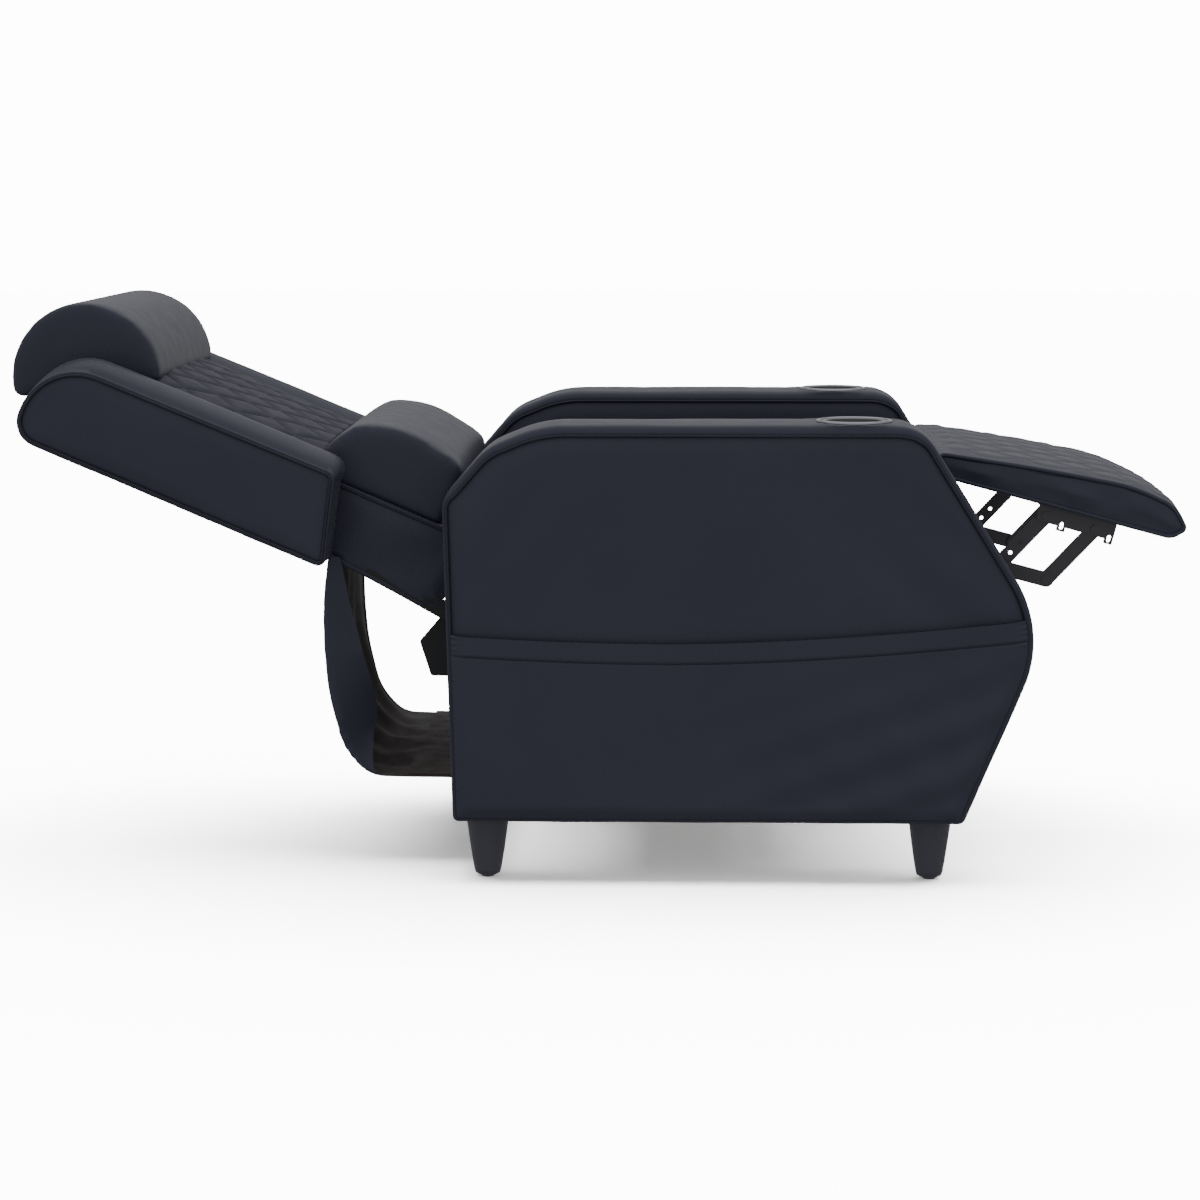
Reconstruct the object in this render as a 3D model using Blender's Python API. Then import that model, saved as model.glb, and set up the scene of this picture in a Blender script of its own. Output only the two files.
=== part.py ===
"""Push-back gaming sofa: two padded arms on turned legs carry a gliding seat, a reclining winged
back and a footrest on a four-bar linkage. Metres, +X to the front, +Y to the sitter's left, +Z up.
It is modelled reclined with the footrest out."""

from math import atan2, ceil, cos, degrees, hypot, pi, radians, sin, tan

import bmesh
import bpy
from mathutils import Matrix, Vector

# Driving sizes of the whole sofa
SEAT_GAP = 0.500            # between the arms' inner faces
ARM_WIDTH = 0.115
ARM_DEPTH = 0.781           # from the rear edge to the front corner before its nose is rounded
ARM_HEIGHT = 0.518          # above the legs
LEG_HEIGHT = 0.084
ARM_REAR = 0.3185           # the arms' rear edges, behind the modelling origin
CLEAR = 0.0003              # between pieces that touch
OVERRUN = 0.02              # how far a cutter passes the piece it cuts

# Joint places and travels
BACK_PIVOT = (-0.320, 0.342)
BACK_LEAN = radians(67.0)   # from upright, as modelled
BACK_TRAVEL = radians(50.0)
SEAT_GLIDE = 0.045
SEAT_LEAN = radians(8.0)    # the seat's front edge stands higher than its rear
LONG_LINK_PIVOT = (0.240, 0.390)
LONG_LINK_BEND = (0.1697, 0.0127)    # from its pivot to the pin of the short rear link
LONG_LINK_TIP = (0.0650, -0.0174)    # from that pin to the elbow at its front end
RISER_REACH = (0.0633, 0.0673)       # from either pin of the long link up to the footrest
CONTROL_OFFSET = (-0.0411, -0.0437)  # from the long link's pins to the control link's
FOOTREST_SLOPE = radians(15.0)
FOOTREST_TRAVEL = radians(78.0)

# Sheet and board thicknesses
PLATE = 0.004
LINK = 0.003
LINK_GAP = 0.001
BOARD = 0.018
PLY = 0.006
SHEET = 0.003
SIDES = (("right", -1.0), ("left", 1.0))

# Roundness of turned pieces and fillets
TURN_STEPS = 24
PIN_STEPS = 12
ARC_STEP = radians(18.0)
FINE_STEP = radians(9.0)    # on the long outlines of the arms and wings
PARALLEL = radians(0.5)     # sides nearer than this to one line have no corner
CROWN_STEP = 0.05           # longest straight side that a crown bends
DRAW_POWER = 6              # how close to its ends a stuffed form starts to draw in
VALLEY_SHARE = 0.25         # of a channel's width that a seam's valley takes on each side of it


def material(name, color, roughness, metallic=0.0):
    """A Principled finish, made once for each name."""
    found = bpy.data.materials.get(name)
    if found:
        return found
    made = bpy.data.materials.new(name)
    made.use_nodes = True
    shader = made.node_tree.nodes["Principled BSDF"]
    shader.inputs["Base Color"].default_value = (*color, 1.0)
    shader.inputs["Roughness"].default_value = roughness
    shader.inputs["Metallic"].default_value = metallic
    return made


def leather():
    return material("navy_leather", (0.024, 0.026, 0.040), 0.45)


def lining():
    return material("brown_black_lining", (0.030, 0.022, 0.021), 0.75)


def timber():
    return material("frame_timber", (0.42, 0.28, 0.16), 0.7)


def steel():
    return material("dark_steel", (0.030, 0.028, 0.036), 0.35, 0.8)


def webbing():
    return material("seat_webbing", (0.05, 0.05, 0.05), 0.9)


def black_plastic():
    return material("black_plastic", (0.012, 0.012, 0.014), 0.35)


def bright_trim():
    return material("bright_trim", (0.55, 0.56, 0.60), 0.15, 1.0)


def leg_finish():
    return material("dark_leg_finish", (0.020, 0.022, 0.032), 0.4)


def empty(name, x, z, turn=0.0, parent=None):
    """A joint or group axis across the sofa, turned about +Y."""
    made = bpy.data.objects.new(name, None)
    bpy.context.collection.objects.link(made)
    made.parent = parent
    made.location = (x, 0.0, z)
    made.rotation_euler = (0.0, turn, 0.0)
    return made


def finish_mesh(name, shape, finish, parent, sharp=radians(35.0)):
    """Turns a bmesh into a named, parented and smooth shaded object."""
    bmesh.ops.recalc_face_normals(shape, faces=shape.faces)
    if shape.calc_volume(signed=True) < 0.0:
        bmesh.ops.reverse_faces(shape, faces=shape.faces)
    mesh = bpy.data.meshes.new(name)
    shape.to_mesh(mesh)
    shape.free()
    made = bpy.data.objects.new(name, mesh)
    bpy.context.collection.objects.link(made)
    made.data.materials.append(finish)
    made.parent = parent
    mesh.shade_smooth()
    mesh.set_sharp_from_angle(angle=sharp)
    return made


def cutter(name, shape, parent):
    """A hidden tool body for a Boolean."""
    made = finish_mesh(name, shape, steel(), parent)
    made.hide_render = True
    made.display_type = "WIRE"
    return made


def cut(piece, tool):
    step = piece.modifiers.new("cut_" + tool.name, "BOOLEAN")
    step.operation = "DIFFERENCE"
    step.object = tool


def soften(piece, width, segments=2):
    """Rounds the sharp edges of a padded or sawn piece."""
    step = piece.modifiers.new("soft_edges", "BEVEL")
    step.width = width
    step.segments = segments
    step.limit_method = "ANGLE"
    step.angle_limit = radians(50.0)


def rounded(corners, arc_step=ARC_STEP):
    """An outline from (x, z, radius) corners, each turned into an arc that its sides can hold."""
    outline = []
    for index, (x, z, radius) in enumerate(corners):
        here = Vector((x, z))
        before = Vector(corners[index - 1][:2]) - here
        after = Vector(corners[(index + 1) % len(corners)][:2]) - here
        half = before.angle(after) / 2
        reach = min(radius / tan(half), before.length / 2, after.length / 2)
        radius = reach * tan(half)
        if radius <= CLEAR:
            outline.append((x, z))
            continue
        start = here + before.normalized() * reach
        end = here + after.normalized() * reach
        centre = here + (before.normalized() + after.normalized()).normalized() * radius / sin(half)
        first = atan2(start.y - centre.y, start.x - centre.x)
        turn = atan2(end.y - centre.y, end.x - centre.x) - first
        turn = (turn + pi) % (2 * pi) - pi
        steps = max(2, ceil(abs(turn) / arc_step))
        for step in range(steps + 1):
            angle = first + turn * step / steps
            outline.append((centre.x + radius * cos(angle), centre.y + radius * sin(angle)))
    return outline


def inset(outline, distance):
    """The outline with each side moved in by distance(normal) and met with its neighbours again."""
    area = sum(a[0] * b[1] - b[0] * a[1] for a, b in zip(outline, outline[1:] + outline[:1]))
    way = 1.0 if area > 0 else -1.0
    lines = []
    for a, b in zip(outline, outline[1:] + outline[:1]):
        along = (Vector(b) - Vector(a)).normalized()
        normal = Vector((along.y, -along.x)) * way
        lines.append((normal, normal.dot(Vector(a)) - distance(normal)))
    moved = []
    for (n1, d1), (n2, d2) in zip(lines[-1:] + lines[:-1], lines):
        cross = n1.x * n2.y - n1.y * n2.x
        if abs(cross) < sin(PARALLEL):
            middle = (n1 * d1 + n2 * d2) / 2
            old = Vector(outline[len(moved)])
            moved.append(tuple(old - n1 * (n1.dot(old) - n1.dot(middle))))
        else:
            moved.append(((d1 * n2.y - d2 * n1.y) / cross, (n1.x * d2 - n2.x * d1) / cross))
    return moved


def circle(x, z, radius, steps=PIN_STEPS):
    return [(x + radius * cos(2 * pi * k / steps), z + radius * sin(2 * pi * k / steps))
            for k in range(steps)]


def plate_shape(outline, near, far, holes=(), studs=()):
    """A flat plate across Y from near to far. Each hole is an outline. Each stud is
    (outline, length, head outline, head height) and stands on the far face."""
    shape = bmesh.new()

    def loop(points):
        verts = [shape.verts.new((x, near, z)) for x, z in points]
        edges = [shape.edges.new((a, b)) for a, b in zip(verts, verts[1:] + verts[:1])]
        return verts, edges

    edges = loop(outline)[1]
    for hole in holes:
        edges += loop(hole)[1]
    discs = []
    for stud in studs:
        verts, ring = loop(stud[0])
        discs.append(verts)
        edges += ring
    bmesh.ops.triangle_fill(shape, edges=edges, use_beauty=True)
    for verts in discs:
        shape.faces.new(verts)
    raised = bmesh.ops.extrude_face_region(shape, geom=shape.faces[:], use_keep_orig=True)
    lifted = [item for item in raised["geom"] if isinstance(item, bmesh.types.BMVert)]
    bmesh.ops.translate(shape, verts=lifted, vec=(0.0, far - near, 0.0))
    up = 1.0 if far > near else -1.0
    for ring, length, head, height in studs:
        wanted = Vector((sum(x for x, z in ring), 0.0, sum(z for x, z in ring))) / len(ring)
        wanted.y = far
        face = min((f for f in shape.faces if len(f.verts) == len(ring)),
                   key=lambda f: (f.calc_center_median() - wanted).length)
        face = raise_face(shape, face, up * length)
        middle = face.calc_center_median()
        spread = raise_face(shape, face, 0.0)
        grow = Vector((head[0][0] - middle.x, head[0][1] - middle.z)).length
        grow /= Vector((ring[0][0] - middle.x, ring[0][1] - middle.z)).length
        bmesh.ops.scale(shape, verts=spread.verts, vec=(grow, 1.0, grow),
                        space=Matrix.Translation(-middle))
        raise_face(shape, spread, up * height)
    return shape


def raise_face(shape, face, height):
    """Extrudes one face across Y and gives its new end."""
    made = bmesh.ops.extrude_discrete_faces(shape, faces=[face])["faces"][0]
    bmesh.ops.translate(shape, verts=made.verts, vec=(0.0, height, 0.0))
    return made


def plate(name, outline, near, far, finish, parent, holes=(), studs=()):
    return finish_mesh(name, plate_shape(outline, near, far, holes, studs), finish, parent)


def bar_outline(points, width):
    """A flat bar's outline along its pins, with round ends and mitred bends."""
    path = [Vector(point) for point in points]
    half = width / 2
    left, right = [], []
    for index, here in enumerate(path):
        before = (here - path[index - 1]).normalized() if index else None
        after = (path[index + 1] - here).normalized() if index + 1 < len(path) else None
        if before and after:
            along = (before + after).normalized()
            reach = half / along.dot(before)
            side = Vector((-along.y, along.x)) * reach
            left.append(tuple(here + side))
            right.append(tuple(here - side))
    ends = []
    for here, along in ((path[-1], path[-1] - path[-2]), (path[0], path[0] - path[1])):
        facing = atan2(along.y, along.x)
        steps = 8
        ends.append([(here.x + half * cos(facing + pi / 2 - pi * k / steps),
                      here.y + half * sin(facing + pi / 2 - pi * k / steps))
                     for k in range(steps + 1)])
    return left + ends[0] + right[::-1] + ends[1]


def turned(name, profile, x, y, z, finish, parent):
    """A round piece: (radius, height) points spun about a vertical axis at x, y, z."""
    shape = bmesh.new()
    steps = TURN_STEPS
    rings = []
    for radius, height in profile:
        if radius == 0.0:
            rings.append([shape.verts.new((x, y, z + height))])
            continue
        rings.append([shape.verts.new((x + radius * cos(2 * pi * k / steps),
                                       y + radius * sin(2 * pi * k / steps), z + height))
                      for k in range(steps)])
    for low, high in zip(rings, rings[1:] + ([] if len(rings[0]) == 1 else rings[:1])):
        for k in range(steps):
            n = (k + 1) % steps
            corners = [low[k % len(low)], low[n % len(low)], high[n % len(high)], high[k % len(high)]]
            shape.faces.new(list(dict.fromkeys(corners)))
    return finish_mesh(name, shape, finish, parent)


def round_bar(name, x, z, radius, half_length, finish, parent, bore=0.0):
    """A tube or rod across the sofa."""
    holes = [circle(x, z, bore)] if bore else []
    return plate(name, circle(x, z, radius), -half_length, half_length, finish, parent, holes=holes)


def block(name, low, high, finish, parent, edge=0.0):
    """A sawn board between two corners."""
    shape = bmesh.new()
    bmesh.ops.create_cube(shape, size=1.0)
    size = Vector(high) - Vector(low)
    bmesh.ops.scale(shape, verts=shape.verts, vec=size)
    bmesh.ops.translate(shape, verts=shape.verts, vec=Vector(low) + size / 2)
    made = finish_mesh(name, shape, finish, parent)
    if edge:
        soften(made, edge)
    return made


def bolster(name, profile, half_width, finish, parent, draw, rows, swell=0.0, channels=0,
            channel_depth=0.0, keep_flat=None):
    """A stuffed form: a side profile carried across Y, drawn in at its two ends, fuller in the
    middle, with sewn channels along it. keep_flat(x, z) says which points rest on something and
    keep their height."""
    middle = Vector((sum(x for x, z in profile), sum(z for x, z in profile))) / len(profile)
    shape = bmesh.new()
    rings = []
    for row in range(rows + 1):
        share = -cos(pi * row / rows)
        inward = draw * (1.0 - (1.0 - abs(share) ** DRAW_POWER) ** 0.5)
        crown = swell * (1.0 - share * share)
        if channels:
            phase = (share + 1.0) / 2.0 * channels
            from_seam = abs(phase - round(phase))
            if 0 < round(phase) < channels:
                crown -= channel_depth * max(0.0, 1.0 - from_seam / VALLEY_SHARE)
        ring = []
        for x, z in profile:
            away = Vector((x, z)) - middle
            reach = away.length or CLEAR
            point = Vector((x, z))
            if keep_flat is None or not keep_flat(x, z):
                point = middle + away * (reach - inward + crown) / reach
            elif inward:
                point = Vector((middle.x + away.x * (reach - inward) / reach, z))
            ring.append(shape.verts.new((point.x, half_width * share, point.y)))
        rings.append(ring)
    for low, high in zip(rings, rings[1:]):
        for k in range(len(profile)):
            n = (k + 1) % len(profile)
            shape.faces.new((low[k], low[n], high[n], high[k]))
    shape.faces.new(rings[0])
    shape.faces.new(rings[-1])
    return finish_mesh(name, shape, finish, parent, sharp=radians(50.0))


for old in list(bpy.data.objects):
    bpy.data.objects.remove(old)

sofa = empty("sofa", 0.0, 0.0)
inner_face = SEAT_GAP / 2
outer_face = inner_face + ARM_WIDTH
arm_middle = inner_face + ARM_WIDTH / 2
arm_bottom = LEG_HEIGHT

# Arms: a timber core, padded side panels, a padded border strip, a side pocket and a cup holder

BORDER_TOP = 0.020
BORDER_SIDE = 0.009
PANEL = 0.010
POCKET_DEPTH = 0.009
POCKET_SEAM = 0.010
POCKET_MOUTH = 0.229        # height of the pocket's lowest mouth point above the arm's bottom
POCKET_REAR_RISE = 0.012
POCKET_FRONT_RISE = 0.029
CUP_FROM_FRONT = 0.0836     # from the front end of the arm's top back to the cup holder's centre
CUP_OUTER = 0.039
CUP_WALL = 0.003
CUP_DEPTH = 0.080
CUP_FLANGE = 0.044
CUP_RISE = 0.004
RING_WIDTH = 0.0045
RING_RISE = 0.0065
ARM_TOP_END_SHARE = 0.787   # of its depth: where the arm's flat top ends
ARM_FOOT_END_SHARE = 0.865  # and where its bottom ends
# Corners as shares of the arm's depth and height, with fillet radii as shares of its height
ARM_CORNER_SHARES = (
    (0.015, 0.0, 0.012), (0.0, 0.813, 0.068), (0.077, 0.945, 0.12), (0.165, 1.0, 0.20),
    (ARM_TOP_END_SHARE, 1.0, 0.11), (1.0, 0.484, 0.29), (ARM_FOOT_END_SHARE, 0.0, 0.02))


def arm_outline(margin=lambda normal: 0.0):
    """The arm's outline, with each side moved in by margin(normal) before its corners are rounded."""
    corners = [(-ARM_REAR + x * ARM_DEPTH, arm_bottom + z * ARM_HEIGHT)
               for x, z, _ in ARM_CORNER_SHARES]
    least = margin(Vector((0.0, -1.0)))
    radii = [max(share * ARM_HEIGHT - least, 0.0) for _, _, share in ARM_CORNER_SHARES]
    sharp = inset(corners, margin)
    return rounded([(x, z, radius) for (x, z), radius in zip(sharp, radii)], FINE_STEP)


def border_width(normal):
    """The border strip is widest on top of the arm."""
    return BORDER_SIDE + (BORDER_TOP - BORDER_SIDE) * max(0.0, normal.y) ** 2


def mouth_height(x):
    """The pocket's mouth sags between its ends."""
    share = (x + ARM_REAR) / ARM_DEPTH
    rise = POCKET_REAR_RISE if share < 0.5 else POCKET_FRONT_RISE
    return arm_bottom + POCKET_MOUTH + rise * (2 * share - 1) ** 2


def pocket_outline(margin, lift=0.0):
    """The arm's outline below the pocket's mouth, moved in by margin, its mouth raised by lift."""
    arm = arm_outline(lambda normal: margin)
    rear = side_x(arm, mouth_height(-ARM_REAR) + lift, first=True)
    front = side_x(arm, mouth_height(-ARM_REAR + ARM_DEPTH) + lift, first=False)
    steps = 8
    mouth = [rear + (front - rear) * step / steps for step in range(steps + 1)]
    top = [(x, mouth_height(x) + lift) for x in mouth]
    below = [point for point in arm if point[1] < mouth_height(point[0]) + lift - POCKET_DEPTH]
    middle = -ARM_REAR + ARM_DEPTH / 2
    return top + [point for point in below if point[0] > middle] + [
        point for point in below if point[0] <= middle]


def side_x(outline, height, first):
    """Where an outline crosses a height, at its rear or at its front."""
    found = []
    for a, b in zip(outline, outline[1:] + outline[:1]):
        if (a[1] - height) * (b[1] - height) < 0:
            share = (height - a[1]) / (b[1] - a[1])
            found.append(a[0] + share * (b[0] - a[0]))
    return min(found) if first else max(found)


def cup_well(name, x, y, radius, depth):
    """A round cutter from above the arm down into it."""
    top = arm_bottom + ARM_HEIGHT
    profile = [(0.0, -depth), (radius, -depth), (radius, OVERRUN), (0.0, OVERRUN)]
    shape_holder = turned(name, profile, x, y, top, steel(), sofa)
    shape_holder.hide_render = True
    shape_holder.display_type = "WIRE"
    return shape_holder


def make_arm(side, sign):
    outline = arm_outline()
    seam = arm_outline(border_width)
    filling = arm_outline(lambda normal: border_width(normal) + CLEAR)
    cup_x = -ARM_REAR + ARM_TOP_END_SHARE * ARM_DEPTH - CUP_FROM_FRONT
    well = cup_well(side + "_cup_well_cutter", cup_x, sign * arm_middle, CUP_OUTER + CLEAR,
                    CUP_DEPTH + CLEAR)
    border = plate(side + "_arm_border", outline, sign * inner_face, sign * outer_face,
                   leather(), sofa, holes=[seam])
    cut(border, well)
    core = plate(side + "_arm_core", filling, sign * (inner_face + PANEL + CLEAR),
                 sign * (outer_face - PANEL - CLEAR), timber(), sofa)
    cut(core, well)
    plate(side + "_arm_outer_panel", filling, sign * (outer_face - PANEL), sign * outer_face,
          leather(), sofa)
    plate(side + "_arm_inner_panel", filling, sign * inner_face, sign * (inner_face + PANEL),
          leather(), sofa)
    make_pocket(side, sign)
    make_cup(side, cup_x, sign * arm_middle)


def make_pocket(side, sign):
    """A leather pocket sewn along its sides and bottom, open at its sagging top edge."""
    near = sign * (outer_face + CLEAR)
    far = sign * (outer_face + CLEAR + POCKET_DEPTH)
    pocket = plate(side + "_side_pocket", pocket_outline(SHEET), near, far, leather(), sofa)
    hollow = pocket_outline(SHEET + POCKET_SEAM, OVERRUN)
    tool = cutter(side + "_pocket_cutter",
                  plate_shape(hollow, near - sign * OVERRUN, far - sign * SHEET), sofa)
    cut(pocket, tool)


def make_cup(side, x, y):
    top = arm_bottom + ARM_HEIGHT
    outer, inner = CUP_OUTER, CUP_OUTER - CUP_WALL
    flange_low = CLEAR
    cup = [(0.0, -CUP_DEPTH), (outer, -CUP_DEPTH), (outer, flange_low), (CUP_FLANGE, flange_low),
           (CUP_FLANGE, CUP_RISE), (inner, CUP_RISE), (inner, CUP_WALL - CUP_DEPTH),
           (0.0, CUP_WALL - CUP_DEPTH)]
    turned(side + "_cup_holder", cup, x, y, top, black_plastic(), sofa)
    low, high = CUP_FLANGE + CLEAR, CUP_FLANGE + CLEAR + RING_WIDTH
    third = RING_WIDTH / 3
    ring = [(low, CLEAR), (high, CLEAR), (high, RING_RISE - third), (high - third, RING_RISE),
            (low + third, RING_RISE), (low, RING_RISE - third)]
    turned(side + "_cup_trim_ring", ring, x, y, top, bright_trim(), sofa)


for side_name, side_sign in SIDES:
    make_arm(side_name, side_sign)

# Legs: turned and tapered, one under each end of each arm

LEG_TOP = 0.0278
LEG_FOOT = 0.0140
LEG_EDGE = 0.003
LEG_WAIST_SHARE = 0.62       # of its height, up to where its taper eases
LEG_SHOULDER_SHARE = 0.90    # and to where its straight top starts
LEG_REAR_IN = 0.054          # from the arm's rear edge to the leg's middle
LEG_FRONT_IN = 0.0396        # from the front end of the arm's bottom


def make_leg(name, x, y):
    height = LEG_HEIGHT - CLEAR
    profile = [(0.0, 0.0), (LEG_FOOT - LEG_EDGE, 0.0), (LEG_FOOT, LEG_EDGE),
               ((LEG_TOP * 2 + LEG_FOOT) / 3, height * LEG_WAIST_SHARE),
               (LEG_TOP, height * LEG_SHOULDER_SHARE), (LEG_TOP, height - LEG_EDGE),
               (LEG_TOP - LEG_EDGE, height), (0.0, height)]
    turned(name, profile, x, y, 0.0, leg_finish(), sofa)


for side_name, side_sign in SIDES:
    for end_name, along in (("rear", LEG_REAR_IN),
                            ("front", ARM_FOOT_END_SHARE * ARM_DEPTH - LEG_FRONT_IN)):
        make_leg(side_name + "_" + end_name + "_leg", -ARM_REAR + along, side_sign * arm_middle)

# Base: two timber rails between the arms and a guide channel inside each arm

RAIL_HEIGHT = 0.090
RAIL_RAISE = 0.016
RAIL_EDGE = 0.003
REAR_RAIL_IN = 0.048
FRONT_RAIL_IN = 0.420
CHANNEL_WALL = 0.0025
CHANNEL_DEPTH = 0.012
CHANNEL_LENGTH = 0.430
CHANNEL_IN = 0.050
RUNNER_HEIGHT = 0.018
RUNNER_PLAY = 0.0005
RUNNER_Z = 0.285

for rail_name, along in (("rear_rail", REAR_RAIL_IN), ("front_rail", FRONT_RAIL_IN)):
    low_x = -ARM_REAR + along
    block(rail_name, (low_x, -inner_face + CLEAR, arm_bottom + RAIL_RAISE),
          (low_x + BOARD, inner_face - CLEAR, arm_bottom + RAIL_RAISE + RAIL_HEIGHT),
          timber(), sofa, edge=RAIL_EDGE)


def across_to_along(shape, length, x):
    """Turns a section drawn in X and Z with its length on Y so that its length runs along X."""
    for vert in shape.verts:
        section_x, along, z = vert.co
        vert.co = (x + along * length, section_x, z)


def make_channel(side, sign):
    """A C channel bolted inside the arm, open towards the seat."""
    half = RUNNER_HEIGHT / 2 + RUNNER_PLAY
    back = inner_face - CLEAR
    lip = back - CHANNEL_DEPTH
    web = back - CHANNEL_WALL
    outer = half + CHANNEL_WALL
    section = [(back, -outer), (back, outer), (lip, outer), (lip, half), (web, half),
               (web, -half), (lip, -half), (lip, -outer)]
    shape = plate_shape([(sign * y, RUNNER_Z + z) for y, z in section], 0.0, 1.0)
    across_to_along(shape, CHANNEL_LENGTH, -ARM_REAR + CHANNEL_IN)
    finish_mesh(side + "_guide_channel", shape, steel(), sofa)


for side_name, side_sign in SIDES:
    make_channel(side_name, side_sign)

# Seat carriage: side plates that glide in the channels, cross tubes, seat frame and cushion

carriage = empty("seat_glide_axis", 0.0, 0.0, parent=sofa)
LINK_PLANE = 0.213          # inner face of the outer layer of links, from the middle
PLATE_TAIL_SHARES = ((0.0, 0.80), (-0.072, 0.40), (-0.045, 0.0))
PLATE_HEIGHT = 0.118
PLATE_BOTTOM = 0.253
PLATE_FRONT = 0.024
TUBE = 0.010
TUBE_WALL = 0.0015
SEAT_REAR_IN = 0.110        # from the back's pivot to the seat's rear edge
SEAT_LENGTH = 0.490
SEAT_FRAME_TOP = 0.351      # at the seat's rear edge
SEAT_FRAME_HEIGHT = 0.026
SEAT_FRAME_BAR = 0.030
SEAT_NOTCH = 0.365          # from the seat's rear edge to where the frame narrows for the links
SEAT_THICK = 0.070
SEAT_BASE_STEPS = 5
SEAT_ROWS = 18
SEAT_CROWN = 0.014
SEAT_SIDE_CLEAR = 0.005
PIN = 0.004
PIN_PLAY = 0.0002
HEAD = 0.0065
HEAD_HEIGHT = 0.0015
EYE = 0.010
plate_inner = LINK_PLANE + LINK + LINK_GAP
plate_outer = plate_inner + PLATE


def pin(x, z):
    """A rivet through the next layer of links: shank, length, head, height."""
    return (circle(x, z, PIN), LINK + LINK_GAP + CLEAR, circle(x, z, HEAD), HEAD_HEIGHT)


def pin_hole(x, z):
    return circle(x, z, PIN + PIN_PLAY)


def make_side_plate(side, sign):
    """A steel side plate with the tail that carries the back, the links' rivets and a runner."""
    px, pz = BACK_PIVOT
    cx, cz = LONG_LINK_PIVOT
    dx, dz = cx + CONTROL_OFFSET[0], cz + CONTROL_OFFSET[1]
    low, high = PLATE_BOTTOM, PLATE_BOTTOM + PLATE_HEIGHT
    tail = [(px + x * (cx - px), low + z * PLATE_HEIGHT, EYE / 2) for x, z in PLATE_TAIL_SHARES]
    front = cx + PLATE_FRONT
    corners = tail[::-1] + [(px - EYE / 2, pz + EYE * 2, EYE), (px + EYE * 2, pz + EYE * 2, EYE),
                            (px + EYE * 6, high - EYE * 3, EYE * 2),
                            (dx - EYE * 4, high - EYE * 3, EYE * 3),
                            (cx - EYE, cz + EYE * 1.5, EYE), (front - EYE, cz + EYE * 1.5, EYE),
                            (front, cz - EYE * 2, EYE), (dx + EYE, dz - EYE * 3, EYE),
                            (dx - EYE * 3, low, EYE * 2)]
    pins = [pin(cx, cz), pin(dx, dz)]
    made = plate(side + "_side_plate", rounded(corners), sign * plate_outer, sign * plate_inner,
                 steel(), carriage, holes=[pin_hole(px, pz)], studs=pins)
    runner_rear = -ARM_REAR + CHANNEL_IN + SEAT_GLIDE + CHANNEL_DEPTH
    runner_front = -ARM_REAR + CHANNEL_IN + CHANNEL_LENGTH - CHANNEL_DEPTH
    half = RUNNER_HEIGHT / 2
    web = inner_face - CLEAR - CHANNEL_WALL - RUNNER_PLAY
    shape = plate_shape(rounded([(runner_rear, RUNNER_Z - half, half / 2),
                                 (runner_rear, RUNNER_Z + half, half / 2),
                                 (runner_front, RUNNER_Z + half, half / 2),
                                 (runner_front, RUNNER_Z - half, half / 2)]),
                        sign * (plate_inner + PLATE / 2), sign * web)
    runner = cutter(side + "_runner_tool", shape, carriage)
    weld = made.modifiers.new("welded_runner", "BOOLEAN")
    weld.operation = "UNION"
    weld.object = runner


def seat_axis():
    """The seat frame's own axes: +X along the seat, leaning up to the front."""
    return empty("seat_lean_axis", BACK_PIVOT[0] + SEAT_REAR_IN, SEAT_FRAME_TOP, -SEAT_LEAN, carriage)


def make_seat(seat):
    """Timber frame, webbing and a crowned cushion sewn in three channels."""
    wide = plate_inner - CLEAR
    narrow = LINK_PLANE - LINK - LINK_GAP - HEAD_HEIGHT - LINK_GAP
    outer = [(0.0, -wide), (SEAT_NOTCH, -wide), (SEAT_NOTCH, -narrow), (SEAT_LENGTH - BOARD, -narrow),
             (SEAT_LENGTH - BOARD, narrow), (SEAT_NOTCH, narrow), (SEAT_NOTCH, wide), (0.0, wide)]
    bar = SEAT_FRAME_BAR
    inner = [(bar, -narrow + bar), (SEAT_LENGTH - BOARD - bar, -narrow + bar),
             (SEAT_LENGTH - BOARD - bar, narrow - bar), (bar, narrow - bar)]
    shape = plate_shape(outer, 0.0, SEAT_FRAME_HEIGHT, holes=[inner])
    for vert in shape.verts:
        x, down, y = vert.co
        vert.co = (x, y, -down)
    frame = finish_mesh("seat_frame", shape, timber(), seat)
    soften(frame, RAIL_EDGE)
    make_webbing(seat, narrow)
    low, high = CLEAR + PLY / 2 + CLEAR, CLEAR + PLY / 2 + SEAT_THICK
    r = SEAT_THICK / 2
    profile = rounded([(0.0, low, r / 3), (0.0, high, r), (SEAT_LENGTH / 2, high + SEAT_CROWN, r),
                       (SEAT_LENGTH, high, r), (SEAT_LENGTH, low, r / 3)])
    profile += [(SEAT_LENGTH * (1 - k / SEAT_BASE_STEPS), low) for k in range(1, SEAT_BASE_STEPS)]
    bolster("seat_cushion", profile, inner_face - SEAT_SIDE_CLEAR, leather(), seat,
            draw=SEAT_CROWN, swell=SEAT_CROWN / 2, rows=SEAT_ROWS, channels=3,
            channel_depth=SEAT_CROWN / 2, keep_flat=lambda x, z: z < low + CLEAR)


STRAPS_ALONG = 5
STRAPS_ACROSS = 5
STRAP_SHARE = 0.5           # of the pitch between straps


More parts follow.
